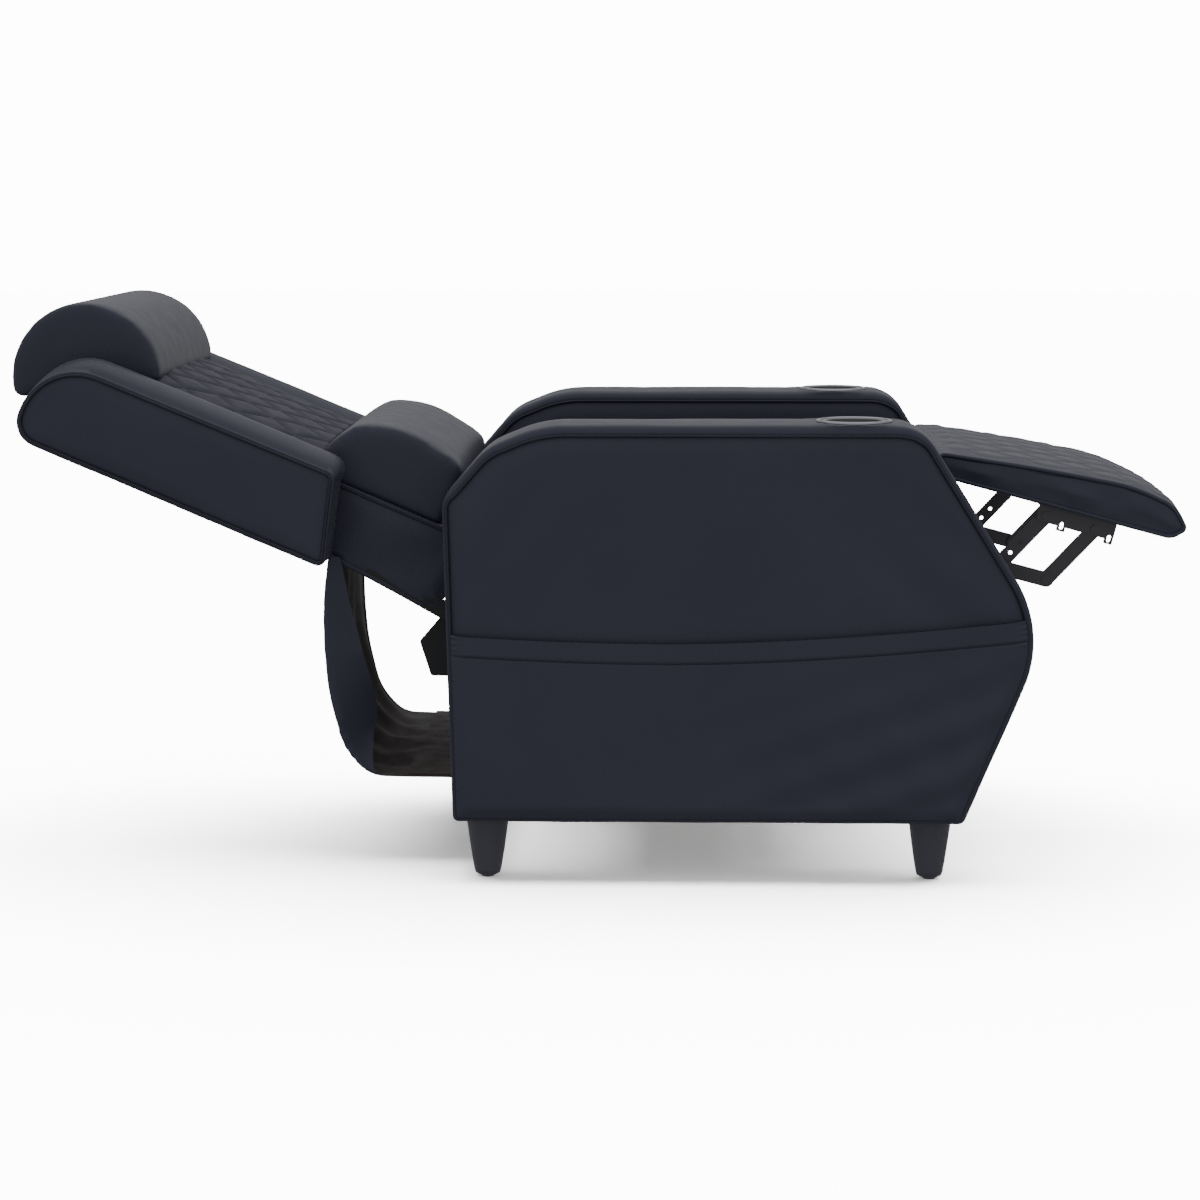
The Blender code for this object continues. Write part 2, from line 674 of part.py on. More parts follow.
def make_webbing(seat, half_width):
    """Elastic straps woven across the seat frame, tacked to its top."""
    length = SEAT_LENGTH - BOARD
    thick = PLY / 2

    def stations(count, low, high):
        pitch = (high - low) / (count + (count - 1) * (1 / STRAP_SHARE - 1))
        gap = pitch * (1 / STRAP_SHARE - 1)
        places = [low]
        for _ in range(count):
            places.append(places[-1] + pitch)
            if len(places) < 2 * count:
                places.append(places[-1] + gap)
        return places

    xs = stations(STRAPS_ALONG, RAIL_EDGE, length - RAIL_EDGE)
    ys = stations(STRAPS_ACROSS, -half_width + RAIL_EDGE, half_width - RAIL_EDGE)
    shape = bmesh.new()
    grid = [[shape.verts.new((x, y, CLEAR)) for y in ys] for x in xs]
    for i in range(len(xs) - 1):
        for j in range(len(ys) - 1):
            if i % 2 == 0 or j % 2 == 0:
                shape.faces.new((grid[i][j], grid[i + 1][j], grid[i + 1][j + 1], grid[i][j + 1]))
    raised = bmesh.ops.extrude_face_region(shape, geom=shape.faces[:], use_keep_orig=True)
    lifted = [item for item in raised["geom"] if isinstance(item, bmesh.types.BMVert)]
    bmesh.ops.translate(shape, verts=lifted, vec=(0.0, 0.0, thick))
    finish_mesh("seat_webbing", shape, webbing(), seat)


for side_name, side_sign in SIDES:
    make_side_plate(side_name, side_sign)
TUBE_LOW = 0.014
for tube_name, tube_x in (("rear_cross_tube", BACK_PIVOT[0] + SEAT_REAR_IN + SEAT_FRAME_BAR),
                          ("front_cross_tube", LONG_LINK_PIVOT[0] - SEAT_REAR_IN)):
    along_seat = (tube_x - BACK_PIVOT[0] - SEAT_REAR_IN) * tan(SEAT_LEAN)
    tube_z = SEAT_FRAME_TOP + along_seat - SEAT_FRAME_HEIGHT / cos(SEAT_LEAN) - TUBE / cos(SEAT_LEAN)
    round_bar(tube_name, tube_x, tube_z - CLEAR, TUBE, plate_inner - CLEAR, steel(), carriage,
              bore=TUBE - TUBE_WALL)
make_seat(seat_axis())

# Back: bracket plates on the pivot, a timber ladder frame, upholstered core, wings and pillows.
# In the back's own axes +Z runs up the back and +X out of its front.

back = empty("back_recline_axis", BACK_PIVOT[0], BACK_PIVOT[1], -BACK_LEAN, carriage)
BACK_WIDTH = 0.479
BACK_LOW = 0.030
BACK_TOP = 0.628
BACK_REAR = 0.008
BACK_THICK = 0.096
FRAME_BAR = 0.040
WING_WIDTH = 0.080
WING_LOW = 0.169            # where its lower end meets its rear face
WING_LOW_FRONT = 0.204      # and where it meets its front
WING_TOP = 0.6145
WING_HEAD_RADIUS = 0.080
WING_THICK = 0.120
WING_CROWN = 0.022
HEADREST_RADIUS = 0.096
HEADREST_UP = 0.563
HEADREST_OUT = 0.098
HEADREST_START = radians(-38.0)      # from straight up the back, round to straight down
LUMBAR_LOW = 0.052
LUMBAR_TOP = 0.236
LUMBAR_THICK = 0.088
LUMBAR_OUT_SHARES = (0.95, 1.08, 0.80)   # of its thickness: at its foot, belly and top
PILLOW_ROWS = 12
CORE_ROWS = 8
WING_ROWS = 6
QUILT_LOW = 0.246
QUILT_TOP = 0.462
QUILT_THICK = 0.014
QUILT_PUFF = 0.010
QUILT_PITCH = 0.040
QUILT_CROWN = 0.007
BRACKET_WIDTH = 0.024
BRACKET_REACH = 0.080


def make_brackets():
    """Steel brackets bolted to the back's sides, each with a long rivet in its side plate."""
    near = BACK_WIDTH / 2 + CLEAR * 2
    outline = bar_outline([(0.0, 0.0), (BRACKET_WIDTH / 2, BACK_LOW + BRACKET_REACH)], BRACKET_WIDTH)
    shank = (circle(0.0, 0.0, PIN), near - plate_inner + CLEAR, circle(0.0, 0.0, HEAD), HEAD_HEIGHT)
    for side, sign in SIDES:
        plate(side + "_back_bracket", outline, sign * (near + LINK), sign * near, steel(), back,
              studs=[shank])


def make_back_frame():
    """A ladder of timber bars inside the back, open between its bars."""
    half = BACK_WIDTH / 2 - PLATE - FRAME_BAR / 2
    low, high = BACK_LOW + FRAME_BAR / 2, BACK_TOP - FRAME_BAR * 1.5
    outer = [(-half, low), (half, low), (half, high), (-half, high)]
    rungs = 3
    pitch = (high - low - FRAME_BAR) / rungs
    holes = []
    for rung in range(rungs):
        bottom = low + FRAME_BAR + rung * pitch
        top = bottom + pitch - FRAME_BAR
        holes.append([(-half + FRAME_BAR, bottom), (half - FRAME_BAR, bottom),
                      (half - FRAME_BAR, top), (-half + FRAME_BAR, top)])
    shape = plate_shape(outer, 0.0, BOARD, holes=holes)
    for vert in shape.verts:
        y, out, z = vert.co
        vert.co = (BACK_REAR + SHEET + CLEAR + out, y, z)
    return finish_mesh("back_frame", shape, timber(), back)


def make_back_core():
    """The upholstered back: foam over the frame, cut to a slope where the headrest lies on it."""
    rear = BACK_REAR + SHEET + BOARD + CLEAR * 2
    front = BACK_REAR + BACK_THICK
    edge = BACK_THICK / 5
    slope_low = HEADREST_UP - HEADREST_RADIUS
    profile = rounded([(rear, BACK_LOW, edge / 2), (front, BACK_LOW, edge), (front, slope_low, edge),
                       (rear + edge / 2, BACK_TOP - edge / 2, edge / 3), (rear, BACK_TOP - edge, edge / 3)])
    bolster("back_core", profile, BACK_WIDTH / 2, leather(), back, draw=edge / 4, rows=CORE_ROWS)


def make_rear_panel():
    """The leather covered board that closes the back behind the frame."""
    half = BACK_WIDTH / 2
    outline = rounded([(-half, BACK_LOW, FRAME_BAR / 2), (half, BACK_LOW, FRAME_BAR / 2),
                       (half, BACK_TOP - FRAME_BAR, FRAME_BAR), (-half, BACK_TOP - FRAME_BAR, FRAME_BAR)])
    shape = plate_shape(outline, 0.0, SHEET)
    for vert in shape.verts:
        y, out, z = vert.co
        vert.co = (BACK_REAR + out, y, z)
    finish_mesh("back_rear_panel", shape, leather(), back)


def make_wing(side, sign):
    """An upper side bolster, flat behind and outside and crowned in front."""
    edge = WING_THICK / 4
    profile = rounded([(0.0, WING_LOW, edge / 2), (WING_THICK, WING_LOW_FRONT, edge / 2),
                       (WING_THICK, WING_TOP, WING_HEAD_RADIUS), (0.0, WING_TOP, edge)], FINE_STEP)
    profile = subdivide_side(profile, CROWN_STEP)
    shape_middle = BACK_WIDTH / 2 + CLEAR + WING_WIDTH / 2
    shape = bmesh.new()
    rings = []
    for row in range(WING_ROWS + 1):
        share = -cos(pi * row / WING_ROWS)
        ring = []
        for x, z in profile:
            fullness = WING_CROWN * (1 - share * share) * max(0.0, x / WING_THICK) ** 2
            ring.append(shape.verts.new((x + fullness, sign * (shape_middle + WING_WIDTH / 2 * share), z)))
        rings.append(ring)
    for low, high in zip(rings, rings[1:]):
        for k in range(len(profile)):
            n = (k + 1) % len(profile)
            shape.faces.new((low[k], low[n], high[n], high[k]))
    shape.faces.new(rings[0])
    shape.faces.new(rings[-1])
    finish_mesh(side + "_wing", shape, leather(), back)


def subdivide_side(outline, longest):
    """Splits the outline's long sides, so that a crown can bend them."""
    points = []
    for a, b in zip(outline, outline[1:] + outline[:1]):
        steps = max(1, ceil(hypot(b[0] - a[0], b[1] - a[1]) / longest))
        points += [(a[0] + (b[0] - a[0]) * k / steps, a[1] + (b[1] - a[1]) * k / steps)
                   for k in range(steps)]
    return points


def make_headrest():
    """A half round bolster that lies on the sloped top of the back."""
    front = BACK_REAR + BACK_THICK
    steps = 16
    arc = [(HEADREST_OUT + HEADREST_RADIUS * sin(HEADREST_START + (pi - HEADREST_START) * k / steps),
            HEADREST_UP + HEADREST_RADIUS * cos(HEADREST_START + (pi - HEADREST_START) * k / steps))
           for k in range(steps + 1)]
    rear = BACK_REAR + SHEET + BOARD
    slope_low = HEADREST_UP - HEADREST_RADIUS
    base = [(front + CLEAR * 3, slope_low), (rear + FRAME_BAR / 2, BACK_TOP - FRAME_BAR / 4)]
    profile = [p for p in arc if p[0] > front + CLEAR * 3 or p[1] > BACK_TOP] + base
    bolster("headrest_pillow", profile, BACK_WIDTH / 2 - CLEAR, leather(), back,
            draw=BORDER_TOP, rows=PILLOW_ROWS, keep_flat=lambda x, z: (x, z) in base)


def make_lumbar():
    """A deep pillow over the small of the back."""
    front = BACK_REAR + BACK_THICK + CLEAR * 2
    r = LUMBAR_THICK / 2
    foot, belly, top = (front + LUMBAR_THICK * share for share in LUMBAR_OUT_SHARES)
    profile = rounded([(front, LUMBAR_LOW, r / 4), (foot, LUMBAR_LOW, r),
                       (belly, LUMBAR_LOW + LUMBAR_THICK, r), (top, LUMBAR_TOP - r / 2, r),
                       (front, LUMBAR_TOP, r / 4)])
    bolster("lumbar_pillow", profile, BACK_WIDTH / 2 - CLEAR, leather(), back,
            draw=BORDER_TOP, rows=PILLOW_ROWS, keep_flat=lambda x, z: x < front + CLEAR)


def make_quilt():
    """A diamond quilted panel: the seams are valleys and each diamond's middle stands up."""
    half = BACK_WIDTH / 2 - BORDER_SIDE
    across = 2 * max(2, round(half / QUILT_PITCH))
    up = 2 * max(2, round((QUILT_TOP - QUILT_LOW) / QUILT_PITCH / 2))
    front = BACK_REAR + BACK_THICK + CLEAR * 2
    shape = bmesh.new()
    grid = []
    for i in range(across + 1):
        column = []
        for j in range(up + 1):
            inside = 0 < i < across and 0 < j < up
            puff = QUILT_PUFF if inside and (i + j) % 2 else 0.0
            rise = QUILT_THICK - QUILT_PUFF if inside else (QUILT_THICK - QUILT_PUFF) / 2
            if inside:
                rise += QUILT_CROWN * (1.0 - (2.0 * i / across - 1.0) ** 2)
            column.append(shape.verts.new((front + rise + puff, -half + 2 * half * i / across,
                                           QUILT_LOW + (QUILT_TOP - QUILT_LOW) * j / up)))
        grid.append(column)
    for i in range(across):
        for j in range(up):
            a, b, c, d = grid[i][j], grid[i + 1][j], grid[i + 1][j + 1], grid[i][j + 1]
            corners = ((a, b, c), (a, c, d)) if (i + j) % 2 == 0 else ((a, b, d), (b, c, d))
            for corner in corners:
                shape.faces.new(corner)
    rim = ([grid[i][0] for i in range(across)] + [grid[across][j] for j in range(up)]
           + [grid[i][up] for i in range(across, 0, -1)] + [grid[0][j] for j in range(up, 0, -1)])
    back_rim = [shape.verts.new((front, vert.co.y, vert.co.z)) for vert in rim]
    for k in range(len(rim)):
        n = (k + 1) % len(rim)
        shape.faces.new((rim[k], rim[n], back_rim[n], back_rim[k]))
    shape.faces.new(back_rim)
    finish_mesh("quilted_panel", shape, leather(), back, sharp=radians(60.0))


make_brackets()
make_back_frame()
make_back_core()
make_rear_panel()
for side_name, side_sign in SIDES:
    make_wing(side_name, side_sign)
make_headrest()
make_lumbar()
make_quilt()

# Rear drape: one leather sheet from the back's lower end down to the rear rail

DRAPE_HALF = 0.249
DRAPE_TOP_UP = 0.170        # where it is fixed, up the back's rear face
DRAPE_BELLY = 0.115         # lowest height of its belly above the floor
DRAPE_OUT = 0.163           # how far it hangs behind the arms' rear edge
# From its top to its belly: shares of its reach in from its rearmost line, and of its drop
DRAPE_PATH_SHARES = ((0.0, 0.67), (0.03, 0.38), (0.15, 0.15), (0.40, 0.025), (0.75, 0.0))
DRAPE_STEPS = 3             # between two points of its path
FOLD = 0.006
DRAPE_COLUMNS = 16
RETURN_TOP = 0.016          # how far the side edges turn in, at the top
RETURN_MIDDLE = 0.046
RETURN_END = 0.034


def make_drape():
    """Hangs from the back in a loose bag, turns in under the base to the rear rail, and has its
    side edges folded in towards the sofa."""
    top = Vector((BACK_PIVOT[0] - DRAPE_TOP_UP * sin(BACK_LEAN) - CLEAR * 4,
                  BACK_PIVOT[1] + DRAPE_TOP_UP * cos(BACK_LEAN) - SHEET * 2))
    rear = -ARM_REAR - DRAPE_OUT
    end = Vector((-ARM_REAR + REAR_RAIL_IN - CLEAR * 2, DRAPE_BELLY + SHEET))
    drop = top.y - DRAPE_BELLY
    path = [Vector((rear + DRAPE_OUT * x, DRAPE_BELLY + drop * z)) for x, z in DRAPE_PATH_SHARES]
    curve = spline([top] + path + [end], DRAPE_STEPS)
    shape = bmesh.new()
    sheer, lined = [], []
    for step, here in enumerate(curve):
        share = step / (len(curve) - 1)
        before, after = curve[max(0, step - 1)], curve[min(len(curve) - 1, step + 1)]
        along = (after - before).normalized()
        normal = Vector((-along.y, along.x))
        edge = RETURN_TOP if share < 0.5 else RETURN_END
        turn_in = edge + (RETURN_MIDDLE - edge) * sin(pi * share)
        face, back_face = [(-DRAPE_HALF, turn_in)], [(SHEET - DRAPE_HALF, turn_in)]
        for k in range(DRAPE_COLUMNS + 1):
            y = 2 * k / DRAPE_COLUMNS - 1
            fold = FOLD * sin(pi * share) * cos(pi * DRAPE_COLUMNS / 2 * y) * (1 - y * y)
            face.append((y * DRAPE_HALF, fold))
            back_face.append((y * (DRAPE_HALF - SHEET), fold + SHEET))
        face.append((DRAPE_HALF, turn_in))
        back_face.append((DRAPE_HALF - SHEET, turn_in))
        for side, points in ((sheer, face), (lined, back_face)):
            side.append([shape.verts.new((here.x + normal.x * out, y, here.y + normal.y * out))
                         for y, out in points])
    last, width = len(sheer) - 1, len(sheer[0]) - 1
    for i in range(last):
        for j in range(width):
            shape.faces.new((sheer[i][j], sheer[i + 1][j], sheer[i + 1][j + 1], sheer[i][j + 1]))
            shape.faces.new((lined[i][j], lined[i][j + 1], lined[i + 1][j + 1], lined[i + 1][j]))
        for j in (0, width):
            shape.faces.new((sheer[i][j], lined[i][j], lined[i + 1][j], sheer[i + 1][j]))
    for i in (0, last):
        for j in range(width):
            shape.faces.new((sheer[i][j], sheer[i][j + 1], lined[i][j + 1], lined[i][j]))
    finish_mesh("rear_drape", shape, lining(), sofa)


def spline(points, steps):
    """A smooth curve through the points (Catmull-Rom)."""
    curve = []
    for k in range(len(points) - 1):
        p0 = points[max(0, k - 1)]
        p1, p2 = points[k], points[k + 1]
        p3 = points[min(len(points) - 1, k + 2)]
        for step in range(steps):
            t = step / steps
            curve.append(0.5 * ((2 * p1) + (p2 - p0) * t + (2 * p0 - 5 * p1 + 4 * p2 - p3) * t * t
                                + (3 * p1 - p0 - 3 * p2 + p3) * t ** 3))
    curve.append(points[-1])
    return curve


make_drape()

# Footrest linkage: on each side two links swing from the side plate and carry two risers,
# whose tops hold the footrest's bracket. Both meshes of pins are parallelograms.

LINK_WIDTH = 0.020
SLOT_WIDTH = 0.0052         # spare fixing slots in the footrest brackets' lugs
SLOT_LENGTH = 0.0096
SPARE_HOLE = 0.0028
SPARE_HOLE_SHARES = (0.27, 0.47)     # of the rear riser's reach
SYNC_IN = 0.120             # the cross tube's place along the long link
SYNC_TUBE = 0.008
long_link = empty("footrest_open_axis", *LONG_LINK_PIVOT, parent=carriage)
control_link = empty("control_link_axis", LONG_LINK_PIVOT[0] + CONTROL_OFFSET[0],
                     LONG_LINK_PIVOT[1] + CONTROL_OFFSET[1], parent=carriage)
rear_riser = empty("rear_riser_axis", *LONG_LINK_BEND, parent=long_link)
elbow = (LONG_LINK_BEND[0] + LONG_LINK_TIP[0], LONG_LINK_BEND[1] + LONG_LINK_TIP[1])
front_riser = empty("front_riser_axis", *elbow, parent=long_link)
footrest = empty("footrest_tilt_axis", *RISER_REACH, turn=FOOTREST_SLOPE, parent=front_riser)
outer_near, outer_far = LINK_PLANE, LINK_PLANE + LINK
inner_near, inner_far = LINK_PLANE - LINK_GAP - LINK, LINK_PLANE - LINK_GAP
FOOT_PITCH = hypot(*LONG_LINK_TIP)


def make_links(side, sign):
    """Riveted flat links: long and control link outside, the two risers inside them."""
    long_points = [(0.0, 0.0), LONG_LINK_BEND, elbow]
    plate(side + "_long_link", bar_outline(long_points, LINK_WIDTH), sign * outer_near,
          sign * outer_far, steel(), long_link, holes=[pin_hole(*point) for point in long_points])
    control_points = [(0.0, 0.0), LONG_LINK_BEND]
    plate(side + "_control_link", bar_outline(control_points, LINK_WIDTH), sign * outer_near,
          sign * outer_far, steel(), control_link, holes=[pin_hole(*p) for p in control_points])
    rear_points = [CONTROL_OFFSET, (0.0, 0.0), RISER_REACH]
    spare = [circle(RISER_REACH[0] * share, RISER_REACH[1] * share, SPARE_HOLE)
             for share in SPARE_HOLE_SHARES]
    plate(side + "_rear_riser", bar_outline(rear_points, LINK_WIDTH), sign * inner_near,
          sign * inner_far, steel(), rear_riser, holes=spare, studs=[pin(*point) for point in rear_points])
    front_points = [(0.0, 0.0), RISER_REACH]
    plate(side + "_front_riser", bar_outline(front_points, LINK_WIDTH), sign * inner_near,
          sign * inner_far, steel(), front_riser, studs=[pin(*point) for point in front_points])


FLANGE_RAISE = 0.0118
FLANGE_WIDTH = 0.026
BRACKET_REAR = 0.012
BRACKET_EDGE = 0.0085       # from its pins down to its lower edge
LUG_REAR = 0.0445           # from the front pin back to the rear lug
LUG_FRONT = 0.0205          # and forward to the front lug, which ends the bracket
LUG_WIDTH = 0.0115
LUG_DEPTH = 0.0145          # below the pins
LUG_SLOT_DROP = 0.0072
FOOT_REAR = 0.232           # from the front riser's pin back to the footrest's rear edge
FOOT_FRONT = 0.115          # and forward to its tip
FOOT_WIDTH = 0.480
FOOT_THICK = 0.043
FOOT_CROWN = 0.008
FOOT_BOARD_IN = 0.014
FOOT_ROWS = 14
FOOT_EDGE_SHARE = 0.125     # of its thickness, its lower edges' radius
# Its upper outline from rear to front: shares of its reach behind (below zero) or before the front
# pin, shares of its thickness, and radii in thicknesses
FOOT_TOP_SHARES = ((-1.0, 0.40, 0.33), (-0.435, 0.95, 3.0), (0.35, 1.0, 2.0), (0.85, 0.55, 0.50),
                   (1.0, 0.10, FOOT_EDGE_SHARE))


def make_foot_bracket(side, sign):
    """An angle pinned to both risers, with two slotted lugs and a flange under the board."""
    half = LUG_WIDTH / 2
    rear, front = -FOOT_PITCH - BRACKET_REAR, LUG_FRONT + half
    top = FLANGE_RAISE + LINK
    corner = LINK / 2
    outline = rounded([(rear, -BRACKET_EDGE, EYE / 2), (rear, top, CLEAR), (front, top, CLEAR),
                       (front, -LUG_DEPTH, corner), (LUG_FRONT - half, -LUG_DEPTH, corner),
                       (LUG_FRONT - half, -BRACKET_EDGE, CLEAR), (half - LUG_REAR, -BRACKET_EDGE, CLEAR),
                       (half - LUG_REAR, -LUG_DEPTH, corner), (-half - LUG_REAR, -LUG_DEPTH, corner),
                       (-half - LUG_REAR, -BRACKET_EDGE, CLEAR)])
    holes = [pin_hole(0.0, 0.0), pin_hole(-FOOT_PITCH, 0.0)]
    for lug in (-LUG_REAR, LUG_FRONT):
        holes.append([(x, z - LUG_SLOT_DROP) for x, z in bar_outline(
            [(lug, (SLOT_WIDTH - SLOT_LENGTH) / 2), (lug, (SLOT_LENGTH - SLOT_WIDTH) / 2)], SLOT_WIDTH)])
    made = plate(side + "_footrest_bracket", outline, sign * outer_near, sign * outer_far,
                 steel(), footrest, holes=holes)
    shape = plate_shape([(rear, FLANGE_RAISE), (rear, top), (front, top), (front, FLANGE_RAISE)],
                        sign * (outer_far - LINK / 2), sign * (outer_far - FLANGE_WIDTH))
    flange = cutter(side + "_flange_tool", shape, footrest)
    weld = made.modifiers.new("folded_flange", "BOOLEAN")
    weld.operation = "UNION"
    weld.object = flange


def make_footrest_pad():
    """A cushion that thins to its tip, on a thin board screwed to the brackets' flanges."""
    low = FLANGE_RAISE + LINK + CLEAR
    half = FOOT_WIDTH / 2 - FOOT_BOARD_IN
    block("footrest_board", (-FOOT_REAR + FOOT_BOARD_IN, -half, low),
          (FOOT_FRONT - FOOT_BOARD_IN * 2, half, low + PLY), timber(), footrest)
    base = low + PLY + CLEAR
    edge = FOOT_THICK * FOOT_EDGE_SHARE
    upper = [((FOOT_FRONT if x > 0 else FOOT_REAR) * x, base + FOOT_THICK * z, FOOT_THICK * radius)
             for x, z, radius in FOOT_TOP_SHARES]
    profile = rounded([(-FOOT_REAR, base, edge)] + upper + [(FOOT_FRONT - 2 * edge, base, edge)])
    profile = subdivide_side(profile, CROWN_STEP)
    bolster("footrest_cushion", profile, FOOT_WIDTH / 2, leather(), footrest,
            draw=FOOT_CROWN, swell=FOOT_CROWN / 2, rows=FOOT_ROWS,
            keep_flat=lambda x, z: z < base + CLEAR)


for side_name, side_sign in SIDES:
    make_links(side_name, side_sign)
    make_foot_bracket(side_name, side_sign)
round_bar("footrest_cross_tube", SYNC_IN, SYNC_IN * LONG_LINK_BEND[1] / LONG_LINK_BEND[0], SYNC_TUBE,
          LINK_PLANE - CLEAR, steel(), long_link, bore=SYNC_TUBE - TUBE_WALL)
make_footrest_pad()


def centre_on_floor():
    """Moves the sofa so that the middle of its footprint is the origin."""
    graph = bpy.context.evaluated_depsgraph_get()
    xs = []
    for piece in bpy.data.objects:
        if piece.type == "MESH" and not piece.hide_render:
            solid = piece.evaluated_get(graph)
            xs += [(solid.matrix_world @ Vector(corner)).x for corner in solid.bound_box]
    sofa.location.x = -(min(xs) + max(xs)) / 2
    bpy.context.view_layer.update()


bpy.context.view_layer.update()
centre_on_floor()
for axis in (carriage, back, long_link, control_link, rear_riser, front_riser, footrest):
    place = axis.matrix_world.translation
    print(f"{axis.name}: x {place.x:.5f} z {place.z:.5f}")
print(f"back travel {degrees(BACK_TRAVEL):.1f} deg, footrest travel {degrees(FOOTREST_TRAVEL):.1f} deg")
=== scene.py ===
"""Push-back gaming sofa, reclined with its footrest out: leather, stitching, pillows and finishes
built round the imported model. Metres, +X to the front, +Y to the sitter's left, +Z up."""

from math import atan2, ceil, cos, exp, pi, radians, sin, tan

import bmesh
import bpy
from mathutils import Matrix, Vector, kdtree


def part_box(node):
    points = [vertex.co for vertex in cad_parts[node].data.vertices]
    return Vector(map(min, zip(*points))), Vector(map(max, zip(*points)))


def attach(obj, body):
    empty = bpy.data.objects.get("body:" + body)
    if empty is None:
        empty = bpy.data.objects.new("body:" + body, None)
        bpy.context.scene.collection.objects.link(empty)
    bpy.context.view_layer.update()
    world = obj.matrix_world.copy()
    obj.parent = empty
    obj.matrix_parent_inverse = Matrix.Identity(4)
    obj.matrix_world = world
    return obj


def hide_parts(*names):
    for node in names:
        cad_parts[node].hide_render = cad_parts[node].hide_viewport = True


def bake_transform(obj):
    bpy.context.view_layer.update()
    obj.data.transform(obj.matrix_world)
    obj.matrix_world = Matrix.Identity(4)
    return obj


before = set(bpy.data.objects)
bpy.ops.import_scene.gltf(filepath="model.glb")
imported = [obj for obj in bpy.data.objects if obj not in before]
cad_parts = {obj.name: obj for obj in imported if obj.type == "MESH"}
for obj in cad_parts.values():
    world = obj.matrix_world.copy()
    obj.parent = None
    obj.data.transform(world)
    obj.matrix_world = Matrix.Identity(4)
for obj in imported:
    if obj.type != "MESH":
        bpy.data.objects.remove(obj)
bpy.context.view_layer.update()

# Studio: a white floor and backdrop, soft light all round that falls off to the back and the ground,
# one wide light above, and a sun that only the floor receives, so that it stays white and takes a
# soft shadow. The camera stands level with the arms, a little above.
CAMERA_PLACE = (0.122, -4.37, 0.925)
CAMERA_DOWN = radians(7.8)
CAMERA_TURN = radians(1.64)
CAMERA_LENS = 94.2
SENSOR = 36.0
FLOOR_SIZE = 60.0
BACKDROP_RADIUS = 20.0
BACKDROP_GLOW = 14.0
SURROUND = 1.02
SURROUND_BEHIND = 0.56
SKY_SHARE, GROUND_SHARE = 1.55, 0.40
FLOOR_SUN = 42.0
FLOOR_SUN_ANGLE = radians(84.0)
FLOOR_SUN_TILT = radians(-18.0)
FLOOR_GLOW = 0.26
TOP_LIGHT_POWER = 14.0
TOP_LIGHT_SIZE = (2.6, 1.6)
TOP_LIGHT_PLACE = (0.1, 0.7, 2.3)
TOP_LIGHT_TILT = radians(-16.0)
WHITE = (1.0, 1.0, 1.0, 1.0)
SIDES = (("right", -1.0), ("left", 1.0))


def start(name, add, **settings):
    """Adds one primitive with nothing else selected, and names it."""
    if bpy.context.object and bpy.context.object.mode != "OBJECT":
        bpy.ops.object.mode_set(mode="OBJECT")
    bpy.ops.object.select_all(action="DESELECT")
    add(**settings)
    piece = bpy.context.object
    piece.name = piece.data.name = name
    return piece


def pick(piece):
    """Selects one piece and nothing else."""
    bpy.ops.object.select_all(action="DESELECT")
    bpy.context.view_layer.objects.active = piece
    piece.select_set(True)


def node_tree(name):
    """A new material: itself, its nodes and its Principled shader."""
    made = bpy.data.materials.new(name)
    made.use_nodes = True
    nodes = made.node_tree.nodes
    return made, nodes, nodes["Principled BSDF"]


def tune(node, sockets):
    """Sets sockets of a node to fixed values."""
    for socket, value in sockets.items():
        node.inputs[socket].default_value = value


def join(source, output, target, socket):
    """Links an output of one node to a socket of another."""
    source.id_data.links.new(source.outputs[output], target.inputs[socket])


camera = start("camera", bpy.ops.object.camera_add, location=CAMERA_PLACE,
               rotation=(pi / 2 - CAMERA_DOWN, 0.0, CAMERA_TURN))
camera.data.lens = CAMERA_LENS
camera.data.sensor_width = SENSOR
camera.data.clip_end = 2 * FLOOR_SIZE
bpy.context.scene.camera = camera

floor = start("floor", bpy.ops.mesh.primitive_plane_add, size=FLOOR_SIZE)
floor_finish, _, shader = node_tree("white_floor")
tune(shader, {"Base Color": (0.93, 0.93, 0.93, 1.0), "Roughness": 0.9, "Specular IOR Level": 0.0,
              "Emission Color": WHITE, "Emission Strength": FLOOR_GLOW})
floor.data.materials.append(floor_finish)

backdrop = start("backdrop", bpy.ops.mesh.primitive_uv_sphere_add, radius=BACKDROP_RADIUS, segments=48,
                 ring_count=24)
backdrop_finish, _, shader = node_tree("white_backdrop")
tune(shader, {"Base Color": (0.0, 0.0, 0.0, 1.0), "Specular IOR Level": 0.0,
              "Emission Color": WHITE, "Emission Strength": BACKDROP_GLOW})
backdrop.data.materials.append(backdrop_finish)
for stage_piece in (floor, backdrop):
    stage_piece.visible_diffuse = False
    stage_piece.visible_glossy = False
backdrop.visible_shadow = False
backdrop.visible_transmission = False

surround = bpy.data.worlds.new("white_surround")
surround.use_nodes = True
nodes = surround.node_tree.nodes
tune(nodes["Background"], {"Color": WHITE})
towards, parts_of_way = nodes.new("ShaderNodeTexCoord"), nodes.new("ShaderNodeSeparateXYZ")
join(towards, "Generated", parts_of_way, "Vector")
product = nodes.new("ShaderNodeMath")
product.operation = "MULTIPLY"
for n, (way, least, most) in enumerate((("Y", SURROUND, SURROUND_BEHIND), ("Z", GROUND_SHARE, SKY_SHARE))):
    fall = nodes.new("ShaderNodeMapRange")
    tune(fall, {"From Min": -1.0, "To Min": least, "To Max": most})
    join(parts_of_way, way, fall, "Value")
    join(fall, "Result", product, n)
join(product, "Value", nodes["Background"], "Strength")
bpy.context.scene.world = surround

